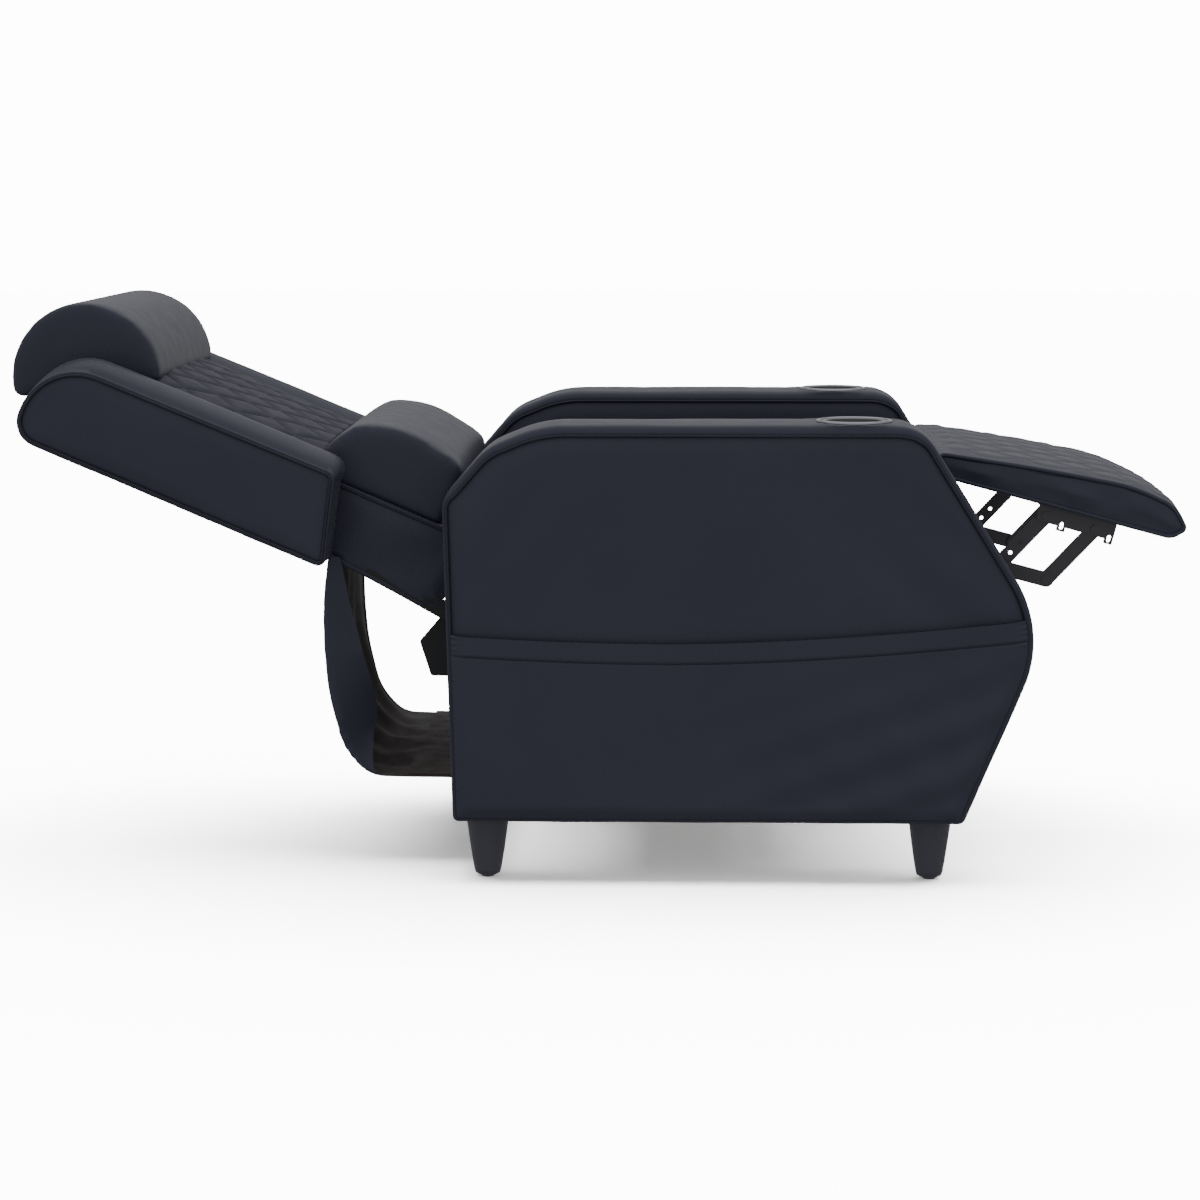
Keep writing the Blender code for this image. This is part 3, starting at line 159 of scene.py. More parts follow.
floor_only = bpy.data.collections.new("floor_only")
floor_only.objects.link(floor)
floor_sun = start("floor_sun", bpy.ops.object.light_add, type="SUN", location=(0.0, 0.0, 5.0),
                  rotation=(FLOOR_SUN_TILT, 0.0, 0.0))
floor_sun.data.energy = FLOOR_SUN
floor_sun.data.angle = FLOOR_SUN_ANGLE
floor_sun.light_linking.receiver_collection = floor_only
top_light = start("top_light", bpy.ops.object.light_add, type="AREA", location=TOP_LIGHT_PLACE,
                  rotation=(TOP_LIGHT_TILT, 0.0, 0.0))
top_light.data.shape = "RECTANGLE"
top_light.data.size, top_light.data.size_y = TOP_LIGHT_SIZE
top_light.data.energy = TOP_LIGHT_POWER

# Leather: smooth dyed navy hide with a fine pebbled grain, faint creases and a soft satin sheen.
# The same hide covers the arms, the back, the pillows, the seat and the footrest.
NAVY = (0.0160, 0.0168, 0.0290)
NAVY_WORN = (0.0225, 0.0232, 0.0370)
PIPING_NAVY = (0.0060, 0.0064, 0.0110)
GRAIN_SCALE = 620.0
CREASE_SCALE = 38.0
PATCH_SCALE = 5.0
GRAIN_DEPTH = 0.00022
CREASE_DEPTH = 0.00028


def leather_finish(name, deep, worn, low_gloss=0.44, high_gloss=0.50, mirror=0.22):
    """Grain and creases as bump, with slow patches of colour and gloss."""
    made, nodes, shader = node_tree(name)
    place = nodes.new("ShaderNodeTexCoord")
    grain = nodes.new("ShaderNodeTexVoronoi")
    grain.feature = "SMOOTH_F1"
    tune(grain, {"Scale": GRAIN_SCALE})
    crease = nodes.new("ShaderNodeTexNoise")
    tune(crease, {"Scale": CREASE_SCALE, "Detail": 4.0})
    patch = nodes.new("ShaderNodeTexNoise")
    tune(patch, {"Scale": PATCH_SCALE, "Detail": 3.0})
    for texture in (grain, crease, patch):
        join(place, "Object", texture, "Vector")
    colour = nodes.new("ShaderNodeMix")
    colour.data_type = "RGBA"
    tune(colour, {"A": (*deep, 1.0), "B": (*worn, 1.0)})
    join(patch, "Fac", colour, "Factor")
    join(colour, "Result", shader, "Base Color")
    gloss = nodes.new("ShaderNodeMapRange")
    tune(gloss, {"From Min": 0.3, "From Max": 0.7, "To Min": low_gloss, "To Max": high_gloss})
    join(crease, "Fac", gloss, "Value")
    join(gloss, "Result", shader, "Roughness")
    creased = nodes.new("ShaderNodeBump")
    tune(creased, {"Strength": 0.35, "Distance": CREASE_DEPTH})
    join(crease, "Fac", creased, "Height")
    grained = nodes.new("ShaderNodeBump")
    tune(grained, {"Strength": 0.5, "Distance": GRAIN_DEPTH})
    join(grain, "Distance", grained, "Height")
    join(creased, "Normal", grained, "Normal")
    join(grained, "Normal", shader, "Normal")
    tune(shader, {"Specular IOR Level": mirror, "Specular Tint": (0.90, 0.93, 1.0, 1.0),
                  "Sheen Weight": 0.03, "Sheen Roughness": 0.4})
    return made


hide = leather_finish("navy_hide", NAVY, NAVY_WORN)
piping_hide = leather_finish("piping_hide", PIPING_NAVY, NAVY)

# Arms: foam and hide over a boxed frame. A border strip runs right round the rim with rounded
# shoulders, a padded panel closes each side, and a cord of piping lies in the seam between them.
ARM_IN, ARM_OUT = 0.250, 0.365
# Corners of an outline: x, z and how far each rounding reaches along its sides
ARM_CORNERS = (
    (-0.1849, 0.0840, 0.0078), (-0.1966, 0.5051, 0.0138), (-0.1365, 0.5735, 0.0200),
    (-0.0678, 0.6020, 0.0320), (0.4180, 0.6020, 0.0317), (0.5844, 0.3347, 0.0777),
    (0.4789, 0.0840, 0.0069))
# Waves of a stretched hide: height, the two wave numbers and the phase
ARM_WAVES = ((0.0009, 9.0, 4.0, 0.0), (0.0007, -6.0, 14.0, 1.0))
# Pulls at a corner: place, spread, height and the two wave numbers
FRONT_PULL, REAR_PULL = (0.46, 0.40, 0.012, 0.0010, 46.0, 60.0), (-0.14, 0.47, 0.010, 0.0009, 60.0, -44.0)
SEAM_SIDE, SEAM_TOP, SEAM_FRONT = 0.0052, 0.0140, 0.0082
PIPING_RADIUS = 0.0018
NEAR = 0.0005
MERGE = 0.00002
STEP = 0.008
TUCK = 0.006
ROLL = 0.0024
SHOULDER_STEPS = 8
DIP_REACH, DIP_CURVE, FILL_REACH = 0.022, 2.2, 0.09
PANEL_DIP, PANEL_FULLNESS = 0.0035, 0.0012
TOP_DOME = 0.0025
CUP_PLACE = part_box("right_cup_holder")
CUP_X = (CUP_PLACE[0][0] + CUP_PLACE[1][0]) / 2
CUP_Y = 0.3075
WELL_RADIUS, WELL_LENGTH, WELL_MIDDLE = 0.0393, 0.17, 0.602
CUP_SEAT = 0.6016
SEAT_RADIUS, SEAT_FADE, SEAT_DEEP, SEAT_SWELL = 0.0510, 0.0180, 0.006, 0.0016


def sheet_of(name, columns, rows, place):
    """A grid of faces, each point put where place(column, row) says."""
    sheet = start(name, bpy.ops.mesh.primitive_grid_add, x_subdivisions=columns, y_subdivisions=rows,
                  size=2.0)
    for vert in sheet.data.vertices:
        vert.co = place(round((vert.co.x + 1.0) * columns / 2), round((vert.co.y + 1.0) * rows / 2))
    sheet.data.update()
    return sheet


def edit_all():
    """Goes into edit mode with every face of the active piece selected."""
    bpy.ops.object.mode_set(mode="EDIT")
    bpy.ops.mesh.select_all(action="SELECT")


def close(piece):
    """Merges what meets, turns the faces out and goes back to object mode."""
    bpy.context.view_layer.objects.active = piece
    edit_all()
    bpy.ops.mesh.remove_doubles(threshold=MERGE)
    bpy.ops.mesh.normals_make_consistent(inside=False)
    bpy.ops.object.mode_set(mode="OBJECT")


def carry(piece, way):
    """Extrudes a flat piece along a way, and closes it."""
    edit_all()
    bpy.ops.mesh.extrude_region_move(TRANSFORM_OT_translate={"value": way})
    close(piece)


def apply(piece, kind, **settings):
    """Adds one modifier with its settings and applies it."""
    pick(piece)
    step = piece.modifiers.new(kind.lower(), kind)
    for key, value in settings.items():
        setattr(step, key, value)
    bpy.ops.object.modifier_apply(modifier=step.name)


def outline_of(corners, step=STEP):
    """Stations round an outline whose corners are rounded: each a place and the way out."""
    places = [Vector((x, z)) for x, z, _ in corners]
    arcs = []
    for k, (here, (_, _, reach)) in enumerate(zip(places, corners)):
        back = (places[k - 1] - here).normalized()
        on = (places[(k + 1) % len(places)] - here).normalized()
        half = back.angle(on) / 2
        radius = reach * tan(half)
        centre = here + (back + on).normalized() * radius / sin(half)
        first, last = here + back * reach - centre, here + on * reach - centre
        angle = atan2(first.y, first.x)
        turn = (atan2(last.y, last.x) - angle + pi) % (2 * pi) - pi
        arcs.append((centre, radius, angle, turn))
    stations = []
    for k, (centre, radius, angle, turn) in enumerate(arcs):
        count = max(5, ceil(abs(turn) * radius / step))
        for n in range(count + 1):
            way = Vector((cos(angle + turn * n / count), sin(angle + turn * n / count)))
            stations.append((centre + way * radius, way))
        here = stations[-1][0]
        centre, radius, angle, turn = arcs[(k + 1) % len(arcs)]
        there = centre + Vector((cos(angle), sin(angle))) * radius
        count = max(1, round((there - here).length / step))
        stations += [(here.lerp(there, n / count), stations[-1][1]) for n in range(1, count)]
    return stations


def seam_in(way):
    """How far the seam lies inside the rim: furthest along the top, and more in front than behind."""
    front, top = (SEAM_FRONT - SEAM_SIDE) * max(0.0, way.x), (SEAM_TOP - SEAM_SIDE) * max(0.0, way.y) ** 2
    return SEAM_SIDE + max(front, top)


def across_band(inset, width, rows, swell):
    """The band's section: (how far inside the rim, how far across) from one tucked edge over the
    rolled seam, the shoulder and the face, which swells by swell(share across), to the other."""
    shoulder = inset - ROLL
    edge = [(inset + NEAR, TUCK), (inset, ROLL), (inset - ROLL * 0.3, ROLL * 0.3), (inset - ROLL, 0.0)]
    turns = [k * pi / (2 * SHOULDER_STEPS) for k in range(1, SHOULDER_STEPS)]
    edge += [(shoulder - shoulder * sin(turn), shoulder - shoulder * cos(turn)) for turn in turns]
    top = [(-swell(k / rows), shoulder + (width - 2 * shoulder) * k / rows) for k in range(rows + 1)]
    return edge + top + [(inward, width - across) for inward, across in reversed(edge)]


def band(name, stations, low, high, seam, swell, rows=16):
    """A closed border strip round an outline, from low to high across the sofa."""
    sections = [across_band(seam(way), high - low, rows, lambda share: swell(spot, way, share))
                for spot, way in stations]
    around = len(sections[0])

    def place(column, row):
        spot, way = stations[column % len(stations)]
        inward, across = sections[column % len(stations)][row % around]
        spot = spot - way * inward
        return Vector((spot.x, low + across, spot.y))

    made = sheet_of(name, len(stations), around, place)
    close(made)
    return made


def crossings(places, height):
    """Where an outline crosses a height: its least and greatest x."""
    found = []
    for a, b in zip(places, places[1:] + places[:1]):
        if (a.y - height) * (b.y - height) <= 0.0 and a.y != b.y:
            found.append(a.x + (b.x - a.x) * (height - a.y) / (b.y - a.y))
    return min(found), max(found)


def padded_face(name, places, y, way, columns, rows, dip, fullness, wrinkle):
    """A hide panel inside a seam: it dips into the seam all round, and swells and creases by
    wrinkle(x, z) in between. way is the side that it faces."""
    low, high = min(p.y for p in places), max(p.y for p in places)
    finder = kdtree.KDTree(len(places))
    for n, spot in enumerate(places):
        finder.insert((spot.x, 0.0, spot.y), n)
    finder.balance()

    def place(column, row):
        z = low + (high - low) * (0.5 - 0.5 * cos(pi * row / rows))
        rear, front = crossings(places, min(high - NEAR / 10, max(low + NEAR / 10, z)))
        x = rear + (front - rear) * column / columns
        inside = finder.find((x, 0.0, z))[2] if 0 < row < rows and 0 < column < columns else 0.0
        rise = min(1.0, inside / DIP_REACH)
        full = fullness * (1.0 - exp(-inside / FILL_REACH))
        stand = -dip * (1.0 - rise) ** DIP_CURVE + rise * (full + wrinkle(x, z))
        return Vector((x, y + way * stand, z))

    made = sheet_of(name, columns, rows, place)
    carry(made, (0.0, -way * TUCK, 0.0))
    return made


def shape_by(piece, move):
    """Moves every point of a piece by a rule of its place."""
    for vert in piece.data.vertices:
        vert.co = move(vert.co.copy())
    piece.data.update()


def ripple(piece, size, height, seed_name):
    """Slow dents and swells of stretched hide, from a clouds pattern."""
    clouds = bpy.data.textures.get(seed_name) or bpy.data.textures.new(seed_name, "CLOUDS")
    clouds.noise_scale = size
    clouds.noise_depth = 2
    apply(piece, "DISPLACE", texture=clouds, strength=height, mid_level=0.5)


def dress(piece, finish, body, *nodes, slot="navy_leather", angle=radians(40.0)):
    """Gives a finished piece its material, shading, body and the CAD nodes that it stands for."""
    piece.data.materials.clear()
    piece.data.materials.append(finish)
    pick(piece)
    bpy.ops.object.shade_smooth_by_angle(angle=angle)
    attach(piece, body)
    if nodes:
        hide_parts(*nodes)
    return piece


def piping(name, places, y, body, radius=PIPING_RADIUS, axes=None):
    """A cord of piping laid round an outline."""
    cord = start(name, bpy.ops.mesh.primitive_circle_add, vertices=len(places), fill_type="NOTHING")
    for vert, spot in zip(cord.data.vertices, places):
        vert.co = (spot.x, y, spot.y)
    bpy.ops.object.convert(target="CURVE")
    bpy.context.object.data.bevel_depth = radius
    bpy.context.object.data.bevel_resolution = 3
    bpy.ops.object.convert(target="MESH")
    if axes:
        settle(bpy.context.object, axes)
    return dress(bpy.context.object, piping_hide, body)


def settle(piece, axes):
    """Moves a finished piece from its own axes to its place, and leaves its origin at zero."""
    pick(piece)
    piece.matrix_world = axes
    bpy.ops.object.transform_apply(location=True, rotation=True, scale=True)


def waves(rows, x, z):
    """Crossing waves of a stretched hide, as a height at a place."""
    return sum(height * sin(along * x + up * z + phase) for height, along, up, phase in rows)


def pull(fold, x, z):
    """Short folds that fade away from the corner that pulls them."""
    at_x, at_z, spread, height, along, up = fold
    return height * exp(-((x - at_x) ** 2 + (z - at_z) ** 2) / spread) * sin(along * x + up * z)


def arm_creases(x, z):
    """Long shallow waves of the stretched hide, and pulls from the front and rear corners."""
    return waves(ARM_WAVES, x, z) + pull(FRONT_PULL, x, z) + pull(REAR_PULL, x, z)


arm_rim = outline_of(ARM_CORNERS)
arm_seam = [spot - way * seam_in(way) for spot, way in arm_rim]
for side, sign in SIDES:
    low, high = sorted((sign * ARM_IN, sign * ARM_OUT))
    rim = band(side + "_arm_rim", arm_rim, low, high, seam_in,
               lambda spot, way, share: TOP_DOME * sin(pi * share) * max(0.0, way.y) ** 2)
    ripple(rim, 0.13, 0.0018, "arm_swells")

    def cup_seat(co):
        """The top is pulled flat under the cup, with a low swell round it."""
        away = (co.xy - Vector((CUP_X, sign * CUP_Y))).length - SEAT_RADIUS
        if co.z > CUP_SEAT - SEAT_DEEP and away < SEAT_FADE:
            share = min(1.0, max(0.0, away / SEAT_FADE))
            co.z = CUP_SEAT + (co.z - CUP_SEAT) * share + SEAT_SWELL * sin(pi * share)
        return co

    shape_by(rim, cup_seat)
    well = start("well_cutter", bpy.ops.mesh.primitive_cylinder_add, vertices=64, radius=WELL_RADIUS,
                 depth=WELL_LENGTH, location=(CUP_X, sign * CUP_Y, WELL_MIDDLE))
    apply(rim, "BOOLEAN", object=well, operation="DIFFERENCE")
    bpy.data.objects.remove(well)
    dress(rim, hide, "base", side + "_arm_border")
    for part, face_y, way in (("outer", ARM_OUT, sign), ("inner", ARM_IN, -sign)):
        panel = padded_face(f"{side}_arm_{part}_side", arm_seam, sign * face_y, way, 120, 90,
                            PANEL_DIP, PANEL_FULLNESS, arm_creases)
        ripple(panel, 0.05, 0.0008, "panel_dents")
        dress(panel, hide, "base", f"{side}_arm_{part}_panel")
        piping(f"{side}_arm_{part}_piping", arm_seam, sign * face_y + way * NEAR, "base")

# Side pockets: one flat sheet of hide sewn to the arm along its sides and foot, with a folded and
# twice stitched hem along its open mouth, which sags a little between its ends.
POCKET_MOUTH = 0.3205
MOUTH_LOWEST_SHARE = 0.38
MOUTH_REAR_RISE, MOUTH_FRONT_RISE, MOUTH_CURVE = 0.009, 0.031, 1.7
POCKET_EDGE = 0.0016
POCKET_STAND, POCKET_RISE_REACH, POCKET_BELLY = 0.0066, 0.016, 0.0012
LEATHER_THICK = 0.0022
HEM_HEIGHT = 0.0260
HEM_RISE, HEM_STEP = 0.0022, 0.0010
HEM_STITCH, HEM_LENGTH = 0.0222, 0.70
GROOVE_DEPTH, GROOVE_WIDTH = 0.0022, 0.0017
SLACK_START, WIDE_FOLD, FINE_FOLD, LONG_WAVE = 0.40, 0.0038, 0.0018, 0.0008
STITCH_LENGTH, STITCH_PITCH, STITCH_RADIUS = 0.0042, 0.0062, 0.0005
POCKET_COLUMNS, POCKET_ROWS, HEM_ROWS = 170, 92, 36
HEM_BAND = HEM_HEIGHT + 0.0060


def plain_finish(name, colour, roughness, metallic=0.0, speck=0.0004, speck_scale=300.0, spread=0.08,
                 mirror=0.5):
    """A moulded, painted or plated finish: fine specks in its surface and its gloss."""
    made, nodes, shader = node_tree(name)
    tune(shader, {"Base Color": (*colour, 1.0), "Metallic": metallic, "Specular IOR Level": mirror})
    place = nodes.new("ShaderNodeTexCoord")
    specks = nodes.new("ShaderNodeTexNoise")
    tune(specks, {"Scale": speck_scale, "Detail": 3.0})
    join(place, "Object", specks, "Vector")
    gloss = nodes.new("ShaderNodeMapRange")
    tune(gloss, {"To Min": roughness - spread, "To Max": roughness + spread})
    join(specks, "Fac", gloss, "Value")
    join(gloss, "Result", shader, "Roughness")
    bump = nodes.new("ShaderNodeBump")
    tune(bump, {"Strength": 0.25, "Distance": speck})
    join(specks, "Fac", bump, "Height")
    join(bump, "Normal", shader, "Normal")
    return made


thread = plain_finish("navy_thread", (0.021, 0.022, 0.031), 0.75, speck=0.0002, speck_scale=2500.0)


def mouth_height(across):
    """The mouth's height: it sags between its ends, and rises most to the front."""
    if across < MOUTH_LOWEST_SHARE:
        return POCKET_MOUTH + MOUTH_REAR_RISE * (1.0 - across / MOUTH_LOWEST_SHARE) ** 2
    front_share = (across - MOUTH_LOWEST_SHARE) / (1.0 - MOUTH_LOWEST_SHARE)
    return POCKET_MOUTH + MOUTH_FRONT_RISE * front_share ** MOUTH_CURVE


def stitch_row(name, places, finish, body, slot=None):
    """A row of sewn stitches: one short thread at each place and direction, sunk at its ends."""
    shape = bmesh.new()
    for spot, along, out in places:
        side = along.cross(out).normalized()
        turn = Matrix((side, out, along)).transposed().to_4x4()
        bmesh.ops.create_icosphere(shape, subdivisions=1, radius=1.0,
                                   matrix=Matrix.Translation(spot) @ turn @ Matrix.Diagonal(
                                       (STITCH_RADIUS, STITCH_RADIUS, STITCH_LENGTH / 2, 1.0)))
    row = start(name, bpy.ops.mesh.primitive_plane_add, size=0.01)
    shape.to_mesh(row.data)
    shape.free()
    return dress(row, finish, body, slot=slot, angle=radians(80.0))


pocket_rim = [spot - way * (seam_in(way) + POCKET_EDGE) for spot, way in arm_rim]
pocket_low = min(spot.y for spot in pocket_rim)
rim_finder = kdtree.KDTree(len(pocket_rim))
for n, spot in enumerate(pocket_rim):
    rim_finder.insert((spot.x, 0.0, spot.y), n)
rim_finder.balance()


def pocket_place(across, below):
    """A point of the pocket under its mouth: x, z and how far it stands off the arm."""
    z = mouth_height(across) - below
    up = 1.0 - below / (mouth_height(across) - pocket_low)
    rear, front = crossings(pocket_rim, max(pocket_low + NEAR / 10, z))
    x = rear + (front - rear) * across
    edge = min(1.0, rim_finder.find((x, 0.0, z))[2] / POCKET_RISE_REACH)
    stand = NEAR + POCKET_STAND * (1.0 - (1.0 - edge) ** 2) + POCKET_BELLY * sin(pi * across) * sin(pi * up)
    hem = HEM_RISE if below < HEM_HEIGHT - HEM_STEP else 0.0
    groove = -GROOVE_DEPTH * exp(-((below - HEM_HEIGHT) / GROOVE_WIDTH) ** 2)
    slack = max(0.0, across - SLACK_START) * (1.0 - up) ** 0.7
    folds = WIDE_FOLD * slack * sin(34.0 * x - 96.0 * z) + FINE_FOLD * slack * sin(70.0 * x + 60.0 * z + 0.6)
    folds += LONG_WAVE * sin(11.0 * x + 20.0 * z) * edge
    return x, z, stand + edge * (hem + folds) + groove


for side, sign in SIDES:
    def pocket_point(column, row):
        """A point of the grid: the rows lie closer together along the hem."""
        across = column / POCKET_COLUMNS
        down = POCKET_ROWS - row
        below = HEM_BAND * min(1.0, down / HEM_ROWS)
        if down > HEM_ROWS:
            total = mouth_height(across) - pocket_low
            below += (total - HEM_BAND) * (down - HEM_ROWS) / (POCKET_ROWS - HEM_ROWS)
        x, z, stand = pocket_place(across, below)
        return Vector((x, sign * (ARM_OUT + stand), z))

    pocket = sheet_of(side + "_side_pocket_sheet", POCKET_COLUMNS, POCKET_ROWS, pocket_point)
    apply(pocket, "SOLIDIFY", thickness=LEATHER_THICK, offset=-sign)
    close(pocket)
    dress(pocket, hide, "base", side + "_side_pocket")
    stitches = []
    count = int(HEM_LENGTH / STITCH_PITCH)
    for across in [k / count for k in range(2, count - 1)]:
        (x, z, stand), (next_x, next_z, _) = (
            pocket_place(at, HEM_STITCH) for at in (across, across + 0.002))
        stitches.append((Vector((x, sign * (ARM_OUT + stand + LEATHER_THICK), z)),
                         Vector((next_x - x, 0.0, next_z - z)).normalized(), Vector((0.0, sign, 0.0))))
    stitch_row(side + "_hem_stitches", stitches, thread, "base", "navy_leather")

# Cup holders: deep glossy black cups of moulded plastic, dropped into wells in the arm tops, each
# with a bright pressed ring round its flange.
CUP_TOP = 0.602
CUP_BORE = 0.0360
CUP_SKIRT = 0.0390
CUP_FLANGE = 0.0440
CUP_DEPTH = 0.080
CUP_FINISH_DEPTH = 0.077
RING_IN, RING_OUT = 0.0443, 0.0492
FLANGE_TOP = 0.0022
RING_TOP = 0.0036


def spun(name, profile, x, y, steps=64):
    """A round piece: a closed profile of (radius, height) points spun about a vertical axis."""
    piece = start(name, bpy.ops.mesh.primitive_circle_add, vertices=len(profile), fill_type="NOTHING")
    for vert, (radius, height) in zip(piece.data.vertices, profile):
        vert.co = (x + radius, y, height)
    edit_all()
    bpy.ops.mesh.spin(steps=steps, angle=2 * pi, center=(x, y, 0.0), axis=(0.0, 0.0, 1.0))
    bpy.ops.mesh.select_all(action="SELECT")
    bpy.ops.mesh.remove_doubles(threshold=MERGE)
    bpy.ops.mesh.dissolve_degenerate(threshold=MERGE)
    close(piece)
    return piece


cup_black = plain_finish("cup_black", (0.006, 0.006, 0.007), 0.16, speck=0.00004)
bright_plate = plain_finish("bright_plate", (0.20, 0.20, 0.225), 0.13, metallic=1.0, speck=0.00002,
                            spread=0.03)

for side, sign in SIDES:
    floor_z = CUP_TOP - CUP_FINISH_DEPTH
    cup = spun(side + "_cup", [
        (0.0, CUP_TOP - CUP_DEPTH), (CUP_SKIRT - 0.003, CUP_TOP - CUP_DEPTH), (CUP_SKIRT, CUP_TOP - 0.076),
        (CUP_SKIRT, CUP_TOP + 0.0004), (CUP_FLANGE - 0.0006, CUP_TOP + 0.0004),
        (CUP_FLANGE, CUP_TOP + 0.0010), (CUP_FLANGE - 0.0008, CUP_TOP + FLANGE_TOP - 0.0006),
        (CUP_FLANGE - 0.0024, CUP_TOP + FLANGE_TOP), (CUP_BORE + 0.0022, CUP_TOP + FLANGE_TOP),
        (CUP_BORE + 0.0006, CUP_TOP + FLANGE_TOP - 0.0008), (CUP_BORE, CUP_TOP + FLANGE_TOP - 0.0030),
        (CUP_BORE - 0.0006, floor_z + 0.006), (CUP_BORE - 0.0030, floor_z + 0.0015),
        (CUP_BORE - 0.0080, floor_z), (0.0, floor_z)], CUP_X, sign * CUP_Y)
    dress(cup, cup_black, "base", side + "_cup_holder", slot="black_plastic", angle=radians(35.0))
    ring = spun(side + "_cup_ring", [
        (RING_IN, CUP_TOP + 0.0004), (RING_OUT, CUP_TOP + 0.0004), (RING_OUT, CUP_TOP + 0.0016),
        (RING_OUT - 0.0005, CUP_TOP + 0.0027), (RING_OUT - 0.0014, CUP_TOP + RING_TOP - 0.0002),
        ((RING_IN + RING_OUT) / 2, CUP_TOP + RING_TOP), (RING_IN + 0.0014, CUP_TOP + RING_TOP - 0.0002),
        (RING_IN + 0.0005, CUP_TOP + 0.0027), (RING_IN, CUP_TOP + 0.0016)], CUP_X, sign * CUP_Y)
    dress(ring, bright_plate, "base", side + "_cup_trim_ring", slot="bright_trim", angle=radians(60.0))

# Legs: turned and tapered hardwood, stained the sofa's navy black and lacquered, with a soft glide
# button under each foot.
LEG_TOP_RADIUS = 0.0276
LEG_FOOT_RADIUS = 0.0168
LEG_HEIGHT = 0.0837
LEG_CURVE = 0.85
leg_stain = plain_finish("leg_stain", (0.0150, 0.0158, 0.0270), 0.55, speck=0.00012, speck_scale=180.0)
glide_felt = plain_finish("glide_felt", (0.02, 0.02, 0.02), 0.9, speck=0.0004, speck_scale=900.0)

for side, sign in SIDES:
    for end in ("rear", "front"):
        low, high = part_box(f"{side}_{end}_leg")
        leg_x = (low[0] + high[0]) / 2
        taper = [(LEG_FOOT_RADIUS + (LEG_TOP_RADIUS - LEG_FOOT_RADIUS) * share ** LEG_CURVE,
                  0.005 + (LEG_HEIGHT - 0.012) * share) for share in (0.08, 0.2, 0.4, 0.6, 0.75, 0.88, 1.0)]
        leg = spun(f"{side}_{end}_turned_leg", [(0.0, 0.0022), (0.0095, 0.0022), (0.0122, 0.0030),
                   (LEG_FOOT_RADIUS - 0.0004, 0.0052)] + taper + [
                   (LEG_TOP_RADIUS - 0.0003, LEG_HEIGHT - 0.003), (LEG_TOP_RADIUS - 0.0018, LEG_HEIGHT),
                   (0.0, LEG_HEIGHT)], leg_x, sign * CUP_Y, steps=48)
        dress(leg, leg_stain, "base", f"{side}_{end}_leg", slot="dark_leg_finish", angle=radians(50.0))
        button = spun(f"{side}_{end}_glide_button", [(0.0, 0.0), (0.0078, 0.0), (0.0088, 0.0008),
                      (0.0088, 0.0022), (0.0, 0.0022)], leg_x, sign * CUP_Y, steps=32)
        dress(button, glide_felt, "base", slot="black_plastic")

# Hard parts that keep their own shapes: sawn timber rails and frames, painted steel channels,
# plates, tubes and links, the woven seat straps, and the frames of the seat, the back and the
# footrest, which are wrapped in black lining.
TIMBER_LIGHT = (0.44, 0.29, 0.165)
TIMBER_DARK = (0.27, 0.165, 0.085)


def timber_finish(name):
    """Sawn pine: long streaks of grain along the sofa's width."""
    made, nodes, shader = node_tree(name)
    place = nodes.new("ShaderNodeTexCoord")
    stretch = nodes.new("ShaderNodeMapping")
    tune(stretch, {"Scale": (38.0, 2.2, 38.0)})
    join(place, "Object", stretch, "Vector")
    streaks = nodes.new("ShaderNodeTexNoise")
    tune(streaks, {"Scale": 3.0, "Detail": 6.0, "Distortion": 0.6})
    join(stretch, "Vector", streaks, "Vector")
    colour = nodes.new("ShaderNodeMix")
    colour.data_type = "RGBA"
    tune(colour, {"A": (*TIMBER_DARK, 1.0), "B": (*TIMBER_LIGHT, 1.0)})
    join(streaks, "Fac", colour, "Factor")
    join(colour, "Result", shader, "Base Color")
    tune(shader, {"Roughness": 0.72})
    bump = nodes.new("ShaderNodeBump")
    tune(bump, {"Strength": 0.3, "Distance": 0.0006})
    join(streaks, "Fac", bump, "Height")
    join(bump, "Normal", shader, "Normal")
    return made


timber = timber_finish("sawn_timber")
link_steel = plain_finish("link_steel", (0.028, 0.027, 0.032), 0.34, metallic=0.55, speck=0.00010,
                          speck_scale=420.0)
plate_steel = plain_finish("plate_steel", (0.0075, 0.0075, 0.0095), 0.50, speck=0.00010, speck_scale=420.0,
                           mirror=0.22)
black_lining = plain_finish("black_lining", (0.0065, 0.0065, 0.0075), 0.9, speck=0.0006, speck_scale=900.0)
strap_weave = plain_finish("strap_weave", (0.022, 0.022, 0.024), 0.88, speck=0.0008, speck_scale=700.0)


def refinish(finish, names):
    """Gives CAD nodes whose shape stays a finer material."""
    for name in names:
        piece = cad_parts[name]
        piece.data.materials.clear()
        piece.data.materials.append(finish)


refinish(timber, ["front_rail", "rear_rail", "right_arm_core", "left_arm_core"])
refinish(black_lining, ["seat_frame", "back_frame", "footrest_board"])
refinish(plate_steel, ["rear_cross_tube", "front_cross_tube"] + [
    side + part for side in ("right_", "left_") for part in ("guide_channel", "side_plate", "back_bracket")])
refinish(link_steel, ["footrest_cross_tube"] + [side + part for side in ("right_", "left_") for part in (
    "long_link", "control_link", "rear_riser", "front_riser", "footrest_bracket")])
refinish(strap_weave, ["seat_webbing"])

